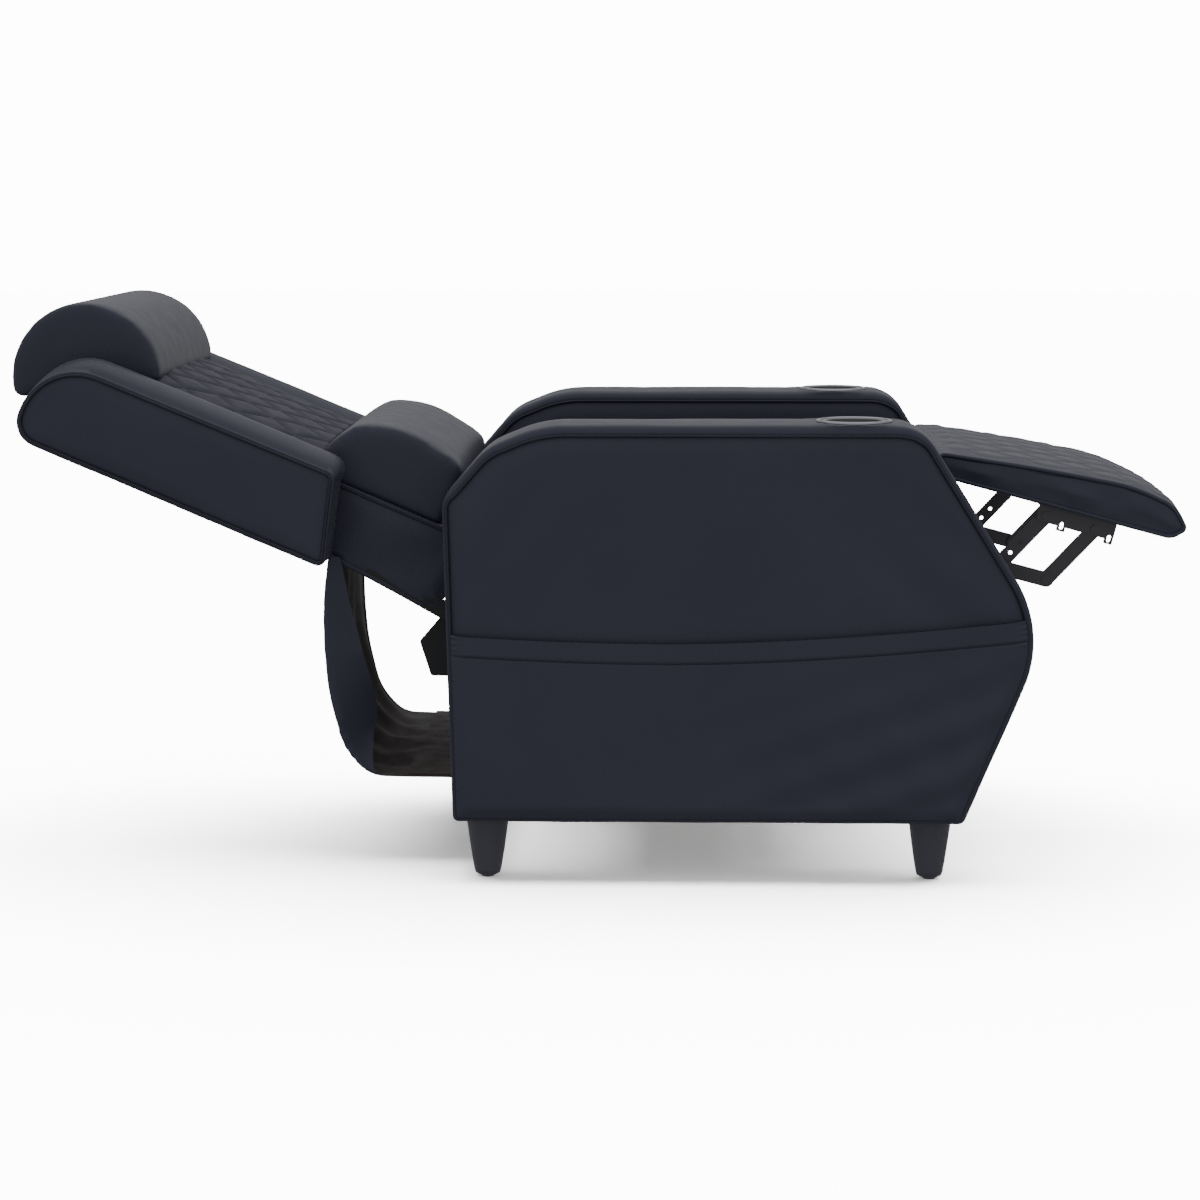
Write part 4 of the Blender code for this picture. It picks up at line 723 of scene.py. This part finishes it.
# Back cushion box: a foam filled box of hide over the ladder frame, with piping round both sides.
# The back is worked on standing upright, up its own length, and then laid back on its pivot.
BACK_PIVOT = (-0.19812, 0.0, 0.342)
BACK_LEAN = radians(67.0)
BACK_AXES = Matrix.Translation(BACK_PIVOT) @ Matrix.Rotation(-BACK_LEAN, 4, "Y")
BOX_CORNERS = ((-0.0040, 0.0120, 0.0180), (0.1035, 0.0120, 0.0300), (0.1035, 0.4600, 0.0200),
               (0.0400, 0.6235, 0.0100), (0.0122, 0.6235, 0.0080), (0.0122, 0.1800, 0.0600))
BOX_HALF = 0.2390
BOX_SEAM = 0.0046
BRACKET_TOP, BRACKET_COVER, BRACKET_FADE = 0.150, 0.0050, 0.06


def box_creases(x, z):
    """The hide pulls down from the lumbar pillow in soft slanting folds."""
    low = max(0.0, (0.30 - z) / 0.27)
    return 0.0016 * low * sin(36.0 * z + 50.0 * x) + 0.0006 * sin(20.0 * z - 10.0 * x)


def over_bracket(co):
    """The lower end is drawn over the steel brackets on its sides."""
    share = min(1.0, max(0.0, (BRACKET_TOP + BRACKET_FADE - co.z) / BRACKET_FADE))
    co.y *= 1.0 + BRACKET_COVER / BOX_HALF * share
    return co


box_rim = outline_of(BOX_CORNERS)
box_seam = [spot - way * BOX_SEAM for spot, way in box_rim]
box = band("back_cushion_box", box_rim, -BOX_HALF, BOX_HALF, lambda way: BOX_SEAM,
           lambda spot, way, share: 0.0)
ripple(box, 0.12, 0.0016, "arm_swells")
shape_by(box, over_bracket)
settle(box, BACK_AXES)
dress(box, hide, "back", "back_core")
for side, sign in SIDES:
    cheek = padded_face(side + "_box_side", box_seam, sign * BOX_HALF, sign, 30, 120, 0.0030, 0.0,
                        box_creases)
    cord = piping(side + "_box_piping", box_seam, sign * (BOX_HALF - 0.0010), "back", 0.0014)
    for piece in (cheek, cord):
        shape_by(piece, over_bracket)
        settle(piece, BACK_AXES)
    dress(cheek, hide, "back")

# Rear cover: a hide covered board that closes the back behind its frame. The hide is pulled tight
# over the board's edges, with piping all round.
REAR_COVER_CORNERS = ((-0.2380, 0.0310, 0.0200), (0.2380, 0.0310, 0.0200), (0.2380, 0.6040, 0.0500),
                      (-0.2380, 0.6040, 0.0500))
REAR_COVER_OUT, REAR_COVER_SWELL = 0.0078, 0.0034
REAR_WAVES = ((0.0007, 5.0, 12.0, 0.0), (0.0005, 19.0, -8.0, 0.0))
TURN_TO_REAR = Matrix.Rotation(-pi / 2, 4, "Z")


rear_rim = outline_of(REAR_COVER_CORNERS)
cover = padded_face("back_rear_cover", [spot for spot, _ in rear_rim], REAR_COVER_OUT, -1.0, 60, 80,
                    0.0015, 0.0008, lambda y, z: waves(REAR_WAVES, y, z))
shape_by(cover, lambda co: Vector((co.x, min(co.y, REAR_COVER_OUT + REAR_COVER_SWELL), co.z)))
settle(cover, BACK_AXES @ TURN_TO_REAR)
dress(cover, hide, "back", "back_rear_panel")
piping("rear_cover_piping", [spot - way * 0.003 for spot, way in rear_rim],
       REAR_COVER_OUT - 0.0004, "back", 0.0020, BACK_AXES @ TURN_TO_REAR)

# Wings: thick side bolsters of the upper back, flat behind and on both sides, swelling in front,
# with piping round each side.
WING_CORNERS = ((0.0000, 0.1690, 0.0140), (0.1225, 0.2040, 0.0120), (0.1180, 0.6145, 0.0800),
                (0.0000, 0.6145, 0.0330))
WING_IN, WING_OUT = 0.2402, 0.3195
WING_SEAM = 0.0052
WING_CROWN = 0.0180
WING_FRONT = 0.120
WING_DIP, WING_FULLNESS = 0.0026, 0.0012
WING_WAVES = ((0.0009, 8.0, 17.0, 0.0), (0.0006, -24.0, 30.0, 1.2))


def wing_swell(spot, way, share):
    """Only the front and the rounded head swell."""
    forward = min(1.0, max(0.0, spot.x / WING_FRONT))
    return WING_CROWN * sin(pi * share) ** 0.8 * max(0.0, way.x) * forward ** 2


wing_rim = outline_of(WING_CORNERS)
wing_seam = [spot - way * WING_SEAM for spot, way in wing_rim]
for side, sign in SIDES:
    low, high = sorted((sign * WING_IN, sign * WING_OUT))
    wing = band(side + "_wing_bolster", wing_rim, low, high, lambda way: WING_SEAM, wing_swell)
    ripple(wing, 0.10, 0.0016, "arm_swells")
    settle(wing, BACK_AXES)
    dress(wing, hide, "back", side + "_wing")
    for part, face_y, way in (("outer", WING_OUT, sign), ("inner", WING_IN, -sign)):
        panel = padded_face(f"{side}_wing_{part}_side", wing_seam, sign * face_y, way, 40, 110, WING_DIP,
                            WING_FULLNESS if part == "outer" else 0.0, lambda x, z: waves(WING_WAVES, x, z))
        settle(panel, BACK_AXES)
        dress(panel, hide, "back")
    piping(side + "_wing_piping", wing_seam, sign * (WING_OUT + NEAR), "back", axes=BACK_AXES)

# Headrest: a half round pillow of foam and wadding in a hide cover, lying on the back's slope.
# It is filled until its long face stands proud of its flat sewn ends.
HEADREST_CENTRE = (0.098, 0.563)
HEADREST_RADIUS = 0.0995
HEADREST_HALF = 0.2340
HEADREST_CUT = (0.0420, 0.6290), (0.1290, 0.4740)
PAD_VOXEL = 0.006
CLOTH_FRAMES = 20
CLOTH_PRESSURE = 4.0
HELD_END, HELD_REAR = 0.004, 0.012


def inflate(piece, voxel, most, held):
    """Fills a pad like sewn cloth: an even mesh, a cloth under pressure, and one subdivision.
    Points that rest on something are held, and no point moves further than most."""
    apply(piece, "REMESH", mode="VOXEL", voxel_size=voxel)
    apply(piece, "SMOOTH", factor=0.5, iterations=3)
    before = [vert.co.copy() for vert in piece.data.vertices]
    group = piece.vertex_groups.new(name="held")
    group.add([n for n, co in enumerate(before) if held(co)], 1.0, "REPLACE")
    cloth = piece.modifiers.new("cloth", "CLOTH")
    cloth.settings.use_pressure = True
    cloth.settings.uniform_pressure_force = CLOTH_PRESSURE
    cloth.settings.effector_weights.gravity = 0.0
    cloth.settings.vertex_group_mass = "held"
    cloth.point_cache.frame_start = 1
    cloth.point_cache.frame_end = CLOTH_FRAMES
    for step in range(1, CLOTH_FRAMES + 1):
        bpy.context.scene.frame_set(step)
    bpy.ops.object.modifier_apply(modifier=cloth.name)
    bpy.context.scene.frame_set(1)
    for vert, old in zip(piece.data.vertices, before):
        move = vert.co - old
        if move.length > most:
            vert.co = old + move.normalized() * most
    piece.vertex_groups.clear()
    apply(piece, "SMOOTH", factor=0.5, iterations=12)
    apply(piece, "SUBSURF", levels=1, render_levels=1)


def slab(name, stations, low, high):
    """A closed form: an outline carried across from low to high."""
    piece = start(name, bpy.ops.mesh.primitive_circle_add, vertices=len(stations), fill_type="NGON")
    for vert, (spot, _) in zip(piece.data.vertices, stations):
        vert.co = (spot.x, low, spot.y)
    carry(piece, (0.0, high - low, 0.0))
    return piece


headrest = start("headrest_cushion", bpy.ops.mesh.primitive_cylinder_add, vertices=64,
                 radius=HEADREST_RADIUS, depth=2 * HEADREST_HALF,
                 location=(HEADREST_CENTRE[0], 0.0, HEADREST_CENTRE[1]), rotation=(pi / 2, 0.0, 0.0))
settle(headrest, headrest.matrix_world.copy())
cut_low, cut_high = Vector(HEADREST_CUT[1]), Vector(HEADREST_CUT[0])
cut_along = (cut_high - cut_low).normalized()
cut_normal = Vector((cut_along.y, 0.0, -cut_along.x))
cut_place = Vector((cut_low.x, 0.0, cut_low.y))
edit_all()
bpy.ops.mesh.bisect(plane_co=cut_place, plane_no=cut_normal, use_fill=True, clear_inner=True)
close(headrest)
inflate(headrest, PAD_VOXEL, 0.012,
        lambda co: (co - cut_place).dot(cut_normal) < HELD_REAR or abs(co.y) > HEADREST_HALF - HELD_END)
settle(headrest, BACK_AXES)
dress(headrest, hide, "back", "headrest_pillow", angle=radians(60.0))

# Lumbar pillow: a deep pillow of foam and wadding in hide, sewn to the small of the back, rounded
# in front and flat behind.
LUMBAR_CORNERS = ((0.0975, 0.0540, 0.0040), (0.1880, 0.0500, 0.0200), (0.2070, 0.1680, 0.0520),
                  (0.1660, 0.2330, 0.0460), (0.0975, 0.2410, 0.0060))
LUMBAR_HALF = 0.2378
LUMBAR_REAR = 0.0975

lumbar = slab("lumbar_cushion", outline_of(LUMBAR_CORNERS), -LUMBAR_HALF, LUMBAR_HALF)
inflate(lumbar, PAD_VOXEL, 0.010,
        lambda co: co.x < LUMBAR_REAR + 0.008 or abs(co.y) > LUMBAR_HALF - HELD_END)
settle(lumbar, BACK_AXES)
dress(lumbar, hide, "back", "lumbar_pillow", angle=radians(60.0))

# Quilted panel: hide sewn through thin wadding in diamonds, between the headrest and the lumbar
# pillow, and fuller towards the middle of the back.
QUILT_LOW, QUILT_TOP = 0.230, 0.494
QUILT_HALF = 0.2398
QUILT_REAR, QUILT_FRONT = 0.1042, 0.1225
QUILT_ACROSS, QUILT_UP = 0.080, 0.080
QUILT_PUFF = 0.0054
QUILT_CROWN = 0.0150
QUILT_COLUMNS, QUILT_ROWS = 240, 132
QUILT_STITCH = 0.0085
QUILT_EDGE = 0.006
SEAM_SHARE, ROUND_SHARE, POINT_SHARE = 0.34, 0.72, 0.28
SEAMS_EACH_WAY = 12
# The quilted panel's hide is a darker, duller copy of the navy hide: painted shade over the whole quilted
# panel.
shaded_quilt_hide = leather_finish("shaded_quilt_hide", (0.0125, 0.0132, 0.0235), (0.0175, 0.0182, 0.0300),
                            0.50, 0.62, 0.12)
# The quilting thread is paler than the hide: real stitches that also carry a painted highlight along the
# quilting seams.
glint_pale_quilt_thread = plain_finish("glint_pale_quilt_thread", (0.045, 0.046, 0.058), 0.6, speck=0.0002, speck_scale=2500.0)


def diamond_height(a, b, across, up):
    """How full the wadding stands at a place: nothing along the seams, most in each middle."""
    one, two = a / across + b / up, a / across - b / up
    near = min(abs(one - round(one)), abs(two - round(two))) * 2.0
    return ROUND_SHARE * min(1.0, near / SEAM_SHARE) ** 0.5 + POINT_SHARE * near


def diamond_seams(half, low, high):
    """Places and directions of the stitches along both slants of the diamonds."""
    way = Vector((QUILT_ACROSS, QUILT_UP)).normalized()
    rise = QUILT_STITCH * way.y
    found = []
    for slant in (-1.0, 1.0):
        for n in range(int((high - low) / rise)):
            up = low + (n + 0.5) * rise
            start_at = -slant * up / QUILT_UP
            for k in range(-SEAMS_EACH_WAY, SEAMS_EACH_WAY + 1):
                across = QUILT_ACROSS * (k + start_at)
                if abs(across) < half:
                    found.append((across, up, Vector((-slant * way.x, way.y))))
    return found


def sewn(name, piece, marks, way, body, axes):
    """Lays a stitch on the piece under each mark, sunk into its seam."""
    bpy.context.view_layer.update()
    places = []
    for spot, along in marks:
        found, place, normal, _ = piece.ray_cast(spot, way)
        if found:
            places.append((place, (along - normal * along.dot(normal)).normalized(), normal))
    settle(stitch_row(name, places, glint_pale_quilt_thread, body, "navy_leather"), axes)


def quilt_swell(co):
    """The diamonds and the panel's own crown, fading out along its edge."""
    rim = min(QUILT_HALF - abs(co.y), co.z - QUILT_LOW, QUILT_TOP - co.z)
    fade = min(1.0, max(0.0, rim / QUILT_EDGE))
    crown = QUILT_CROWN * (1.0 - (co.y / QUILT_HALF) ** 4)
    co.x += fade * (QUILT_PUFF * diamond_height(co.y, co.z, QUILT_ACROSS, QUILT_UP) + crown)
    return co


def quilt_place(column, row):
    """A point of the panel's front."""
    y = QUILT_HALF * (2 * column / QUILT_COLUMNS - 1)
    z = QUILT_LOW + (QUILT_TOP - QUILT_LOW) * row / QUILT_ROWS
    return quilt_swell(Vector((QUILT_FRONT, y, z)))


quilt = sheet_of("quilted_back_panel", QUILT_COLUMNS, QUILT_ROWS, quilt_place)
carry(quilt, (QUILT_REAR - QUILT_FRONT, 0.0, 0.0))
shape_by(quilt, lambda co: Vector((max(co.x, QUILT_REAR), co.y, co.z)))
ripple(quilt, 0.03, 0.0006, "panel_dents")
seams = diamond_seams(QUILT_HALF - QUILT_EDGE, QUILT_LOW + QUILT_EDGE, QUILT_TOP - QUILT_EDGE)
sewn("quilt_stitches", quilt, [(Vector((0.3, across, up)), Vector((0.0, *along)))
                               for across, up, along in seams],
     Vector((-1.0, 0.0, 0.0)), "back", BACK_AXES)
settle(quilt, BACK_AXES)
dress(quilt, shaded_quilt_hide, "back", "quilted_panel", angle=radians(80.0))

# Seat cushion: a block of foam in hide on the woven straps, domed in its middle, and sewn in three
# channels that run from back to front.
SEAT_AXES = Matrix.Translation((-0.08812, 0.0, 0.351)) @ Matrix.Rotation(-radians(8.0), 4, "Y")
SEAT_CORNERS = ((0.0040, 0.0042, 0.0120), (0.4860, 0.0042, 0.0120), (0.4860, 0.0690, 0.0320),
                (0.2450, 0.0800, 0.0900), (0.0040, 0.0690, 0.0320))
SEAT_HALF = 0.2390
CHANNEL_SEAM = 0.0800
CHANNEL_DEPTH = 0.0070
CHANNEL_WIDTH = 0.0110
SEAT_VOXEL = 0.007


def seat_channels(co):
    """Presses the two seams into the top and the front of the cushion."""
    for seam in (-CHANNEL_SEAM, CHANNEL_SEAM):
        press = CHANNEL_DEPTH * exp(-((co.y - seam) / CHANNEL_WIDTH) ** 2)
        co.z -= press * min(1.0, max(0.0, (co.z - 0.030) / 0.030))
        co.x -= press * min(1.0, max(0.0, (co.x - 0.460) / 0.020))
    return co


seat = slab("seat_pad", outline_of(SEAT_CORNERS), -SEAT_HALF, SEAT_HALF)
inflate(seat, SEAT_VOXEL, 0.010, lambda co: co.z < 0.014)
shape_by(seat, seat_channels)
settle(seat, SEAT_AXES)
dress(seat, hide, "seat_carriage", "seat_cushion", angle=radians(60.0))

# Footrest cushion: a thin quilted pad wrapped round its board, thickest above the hinge and drawn
# out to a soft point in front, with a plain band of hide round its sides.
FOOT_AXES = Matrix.Translation((0.65988, 0.0, 0.45260)) @ Matrix.Rotation(radians(15.0), 4, "Y")
FOOT_CORNERS = ((-0.2315, 0.01495, 0.0080), (0.0980, 0.01495, 0.0100), (0.1155, 0.0330, 0.0080),
                (0.0920, 0.0600, 0.0170), (0.0300, 0.0715, 0.0300), (-0.0900, 0.0630, 0.0500),
                (-0.2315, 0.0470, 0.0120))
FOOT_HALF = 0.2385
FOOT_REAR, FOOT_TIP = -0.2315, 0.1150
FOOT_CROWN = 0.0040
FOOT_PUFF = 0.0042
FOOT_SEAM = 0.0060
FOOT_WAVES = ((0.0015, 46.0, 90.0, 0.0), (0.0009, 95.0, -40.0, 0.0))


def foot_swell(spot, way, share):
    """The top is quilted in diamonds, and fullest in its middle; the rest only swells a little."""
    y = FOOT_HALF * (2.0 * share - 1.0)
    ends = min(1.0, max(0.0, min(spot.x - FOOT_REAR, FOOT_TIP - spot.x) / 0.03))
    sides = min(1.0, min(share, 1.0 - share) / 0.04)
    puff = FOOT_PUFF * diamond_height(y, spot.x, QUILT_ACROSS, QUILT_UP) * sides
    return max(0.0, way.y) * ends * (FOOT_CROWN * sin(pi * share) + puff)


foot_rim = outline_of(FOOT_CORNERS, 0.005)
foot_seam = [spot - way * FOOT_SEAM for spot, way in foot_rim]
foot_pad = band("footrest_pad", foot_rim, -FOOT_HALF, FOOT_HALF, lambda way: FOOT_SEAM, foot_swell, 150)
seams = diamond_seams(FOOT_HALF - 0.012, FOOT_REAR + 0.012, FOOT_TIP - 0.022)
sewn("footrest_stitches", foot_pad, [(Vector((along_x, across, 0.3)), Vector((way.y, way.x, 0.0)))
                                     for across, along_x, way in seams],
     Vector((0.0, 0.0, -1.0)), "footrest", FOOT_AXES)
settle(foot_pad, FOOT_AXES)
dress(foot_pad, hide, "footrest", "footrest_cushion", angle=radians(70.0))
for side, sign in SIDES:
    cheek = padded_face(side + "_footrest_side", foot_seam, sign * FOOT_HALF, sign, 150, 24, 0.0020, 0.0060,
                        lambda x, z: waves(FOOT_WAVES, x, z))
    settle(cheek, FOOT_AXES)
    dress(cheek, hide, "footrest")

# Rear drape: one sheet of hide with a brown black lining, hung from the back in a loose bag that
# hides the mechanism. Its near side edge is turned well in, and the far one only hemmed. A short
# tail of the same sheet is tacked to the rear rail, and the drape's foot slides over it.
DRAPE_PATH = ((-0.3560, 0.4180), (-0.3622, 0.3600), (-0.3626, 0.2990), (-0.3581, 0.2430), (-0.3491, 0.1990),
              (-0.3381, 0.1640), (-0.3186, 0.1375), (-0.2971, 0.1240), (-0.2621, 0.1212), (-0.1750, 0.1205))
DRAPE_HALF = 0.2490
RETURN_TOP, RETURN_MIDDLE = 0.014, 0.047
FAR_RETURN_SHARE = 0.05
RETURN_END, RETURN_SLANT, RETURN_LEAN = 0.78, 0.10, 0.55
LEAN_START, LEAN_SPAN, LEAN_END = 0.25, 0.6, 0.85
DRAPE_FOLD, DRAPE_WAVE, FOLD_FADE = 0.0045, 0.003, 0.05
DRAPE_ROWS, DRAPE_COLUMNS = 72, 96
DRAPE_THICK = 0.0022
TAIL_HALF = 0.2460
TAIL_HEIGHT = 0.1233
TAIL_LENGTH, TAIL_FRONT = 0.105, -0.1492
lining_cloth = leather_finish("brown_lining", (0.0260, 0.0190, 0.0185), (0.0380, 0.0290, 0.0280), 0.62, 0.78)


def smooth_path(points, share):
    """A place and its direction on the smooth curve through the points."""
    spans = len(points) - 1
    here = min(spans - 1, int(share * spans))
    t = share * spans - here
    p0, p1 = Vector(points[max(0, here - 1)]), Vector(points[here])
    p2, p3 = Vector(points[here + 1]), Vector(points[min(spans, here + 2)])
    a, b, c = p2 - p0, 2 * p0 - 5 * p1 + 4 * p2 - p3, 3 * p1 - p0 - 3 * p2 + p3
    place = 0.5 * (2 * p1 + a * t + b * t * t + c * t ** 3)
    along = (0.5 * (a + 2 * b * t + 3 * c * t * t)).normalized()
    return place, along


drape = start("rear_drape_sheet", bpy.ops.mesh.primitive_grid_add, x_subdivisions=DRAPE_COLUMNS,
              y_subdivisions=DRAPE_ROWS, size=2.0)
for vert in drape.data.vertices:
    across, down = vert.co.x, (1.0 - vert.co.y) / 2.0
    place, along = smooth_path(DRAPE_PATH, down)
    inward = Vector((-along.y, along.x))
    turn_in = RETURN_TOP * (1.0 - down) + RETURN_MIDDLE * max(0.0, sin(pi * min(1.0, down / RETURN_END)))
    if across > 0.0:
        turn_in *= FAR_RETURN_SHARE
    reach = abs(across) * (DRAPE_HALF + turn_in)
    over = max(0.0, reach - DRAPE_HALF)
    flat = min(reach, DRAPE_HALF)
    fold = DRAPE_FOLD * sin(pi * down) * cos(5.0 * pi * across) + DRAPE_WAVE * sin(9.0 * down + 4.0 * across)
    place = place + inward * (over + fold * min(1.0, (DRAPE_HALF - flat) / FOLD_FADE))
    lean = 0.0
    if LEAN_START < down < LEAN_END:
        lean = RETURN_LEAN * max(0.0, sin(pi * (down - LEAN_START) / LEAN_SPAN))
    vert.co = (place.x, (1.0 if across > 0 else -1.0) * (flat - (RETURN_SLANT + lean) * over), place.y)
drape.data.materials.append(lining_cloth)
drape.data.materials.append(hide)
apply(drape, "SOLIDIFY", thickness=DRAPE_THICK, offset=0.0, material_offset=1, material_offset_rim=0)
bpy.ops.object.shade_smooth_by_angle(angle=radians(60.0))
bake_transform(drape)
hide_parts("rear_drape")

tail = start("drape_tail", bpy.ops.mesh.primitive_grid_add, x_subdivisions=24, y_subdivisions=40, size=2.0)
for vert in tail.data.vertices:
    x = TAIL_FRONT - TAIL_LENGTH * (1.0 - vert.co.x) / 2.0
    vert.co = (x, vert.co.y * TAIL_HALF, TAIL_HEIGHT + 0.0004 * sin(40.0 * vert.co.y))
apply(tail, "SOLIDIFY", thickness=DRAPE_THICK, offset=0.0)
dress(tail, lining_cloth, "base", slot="brown_black_lining")
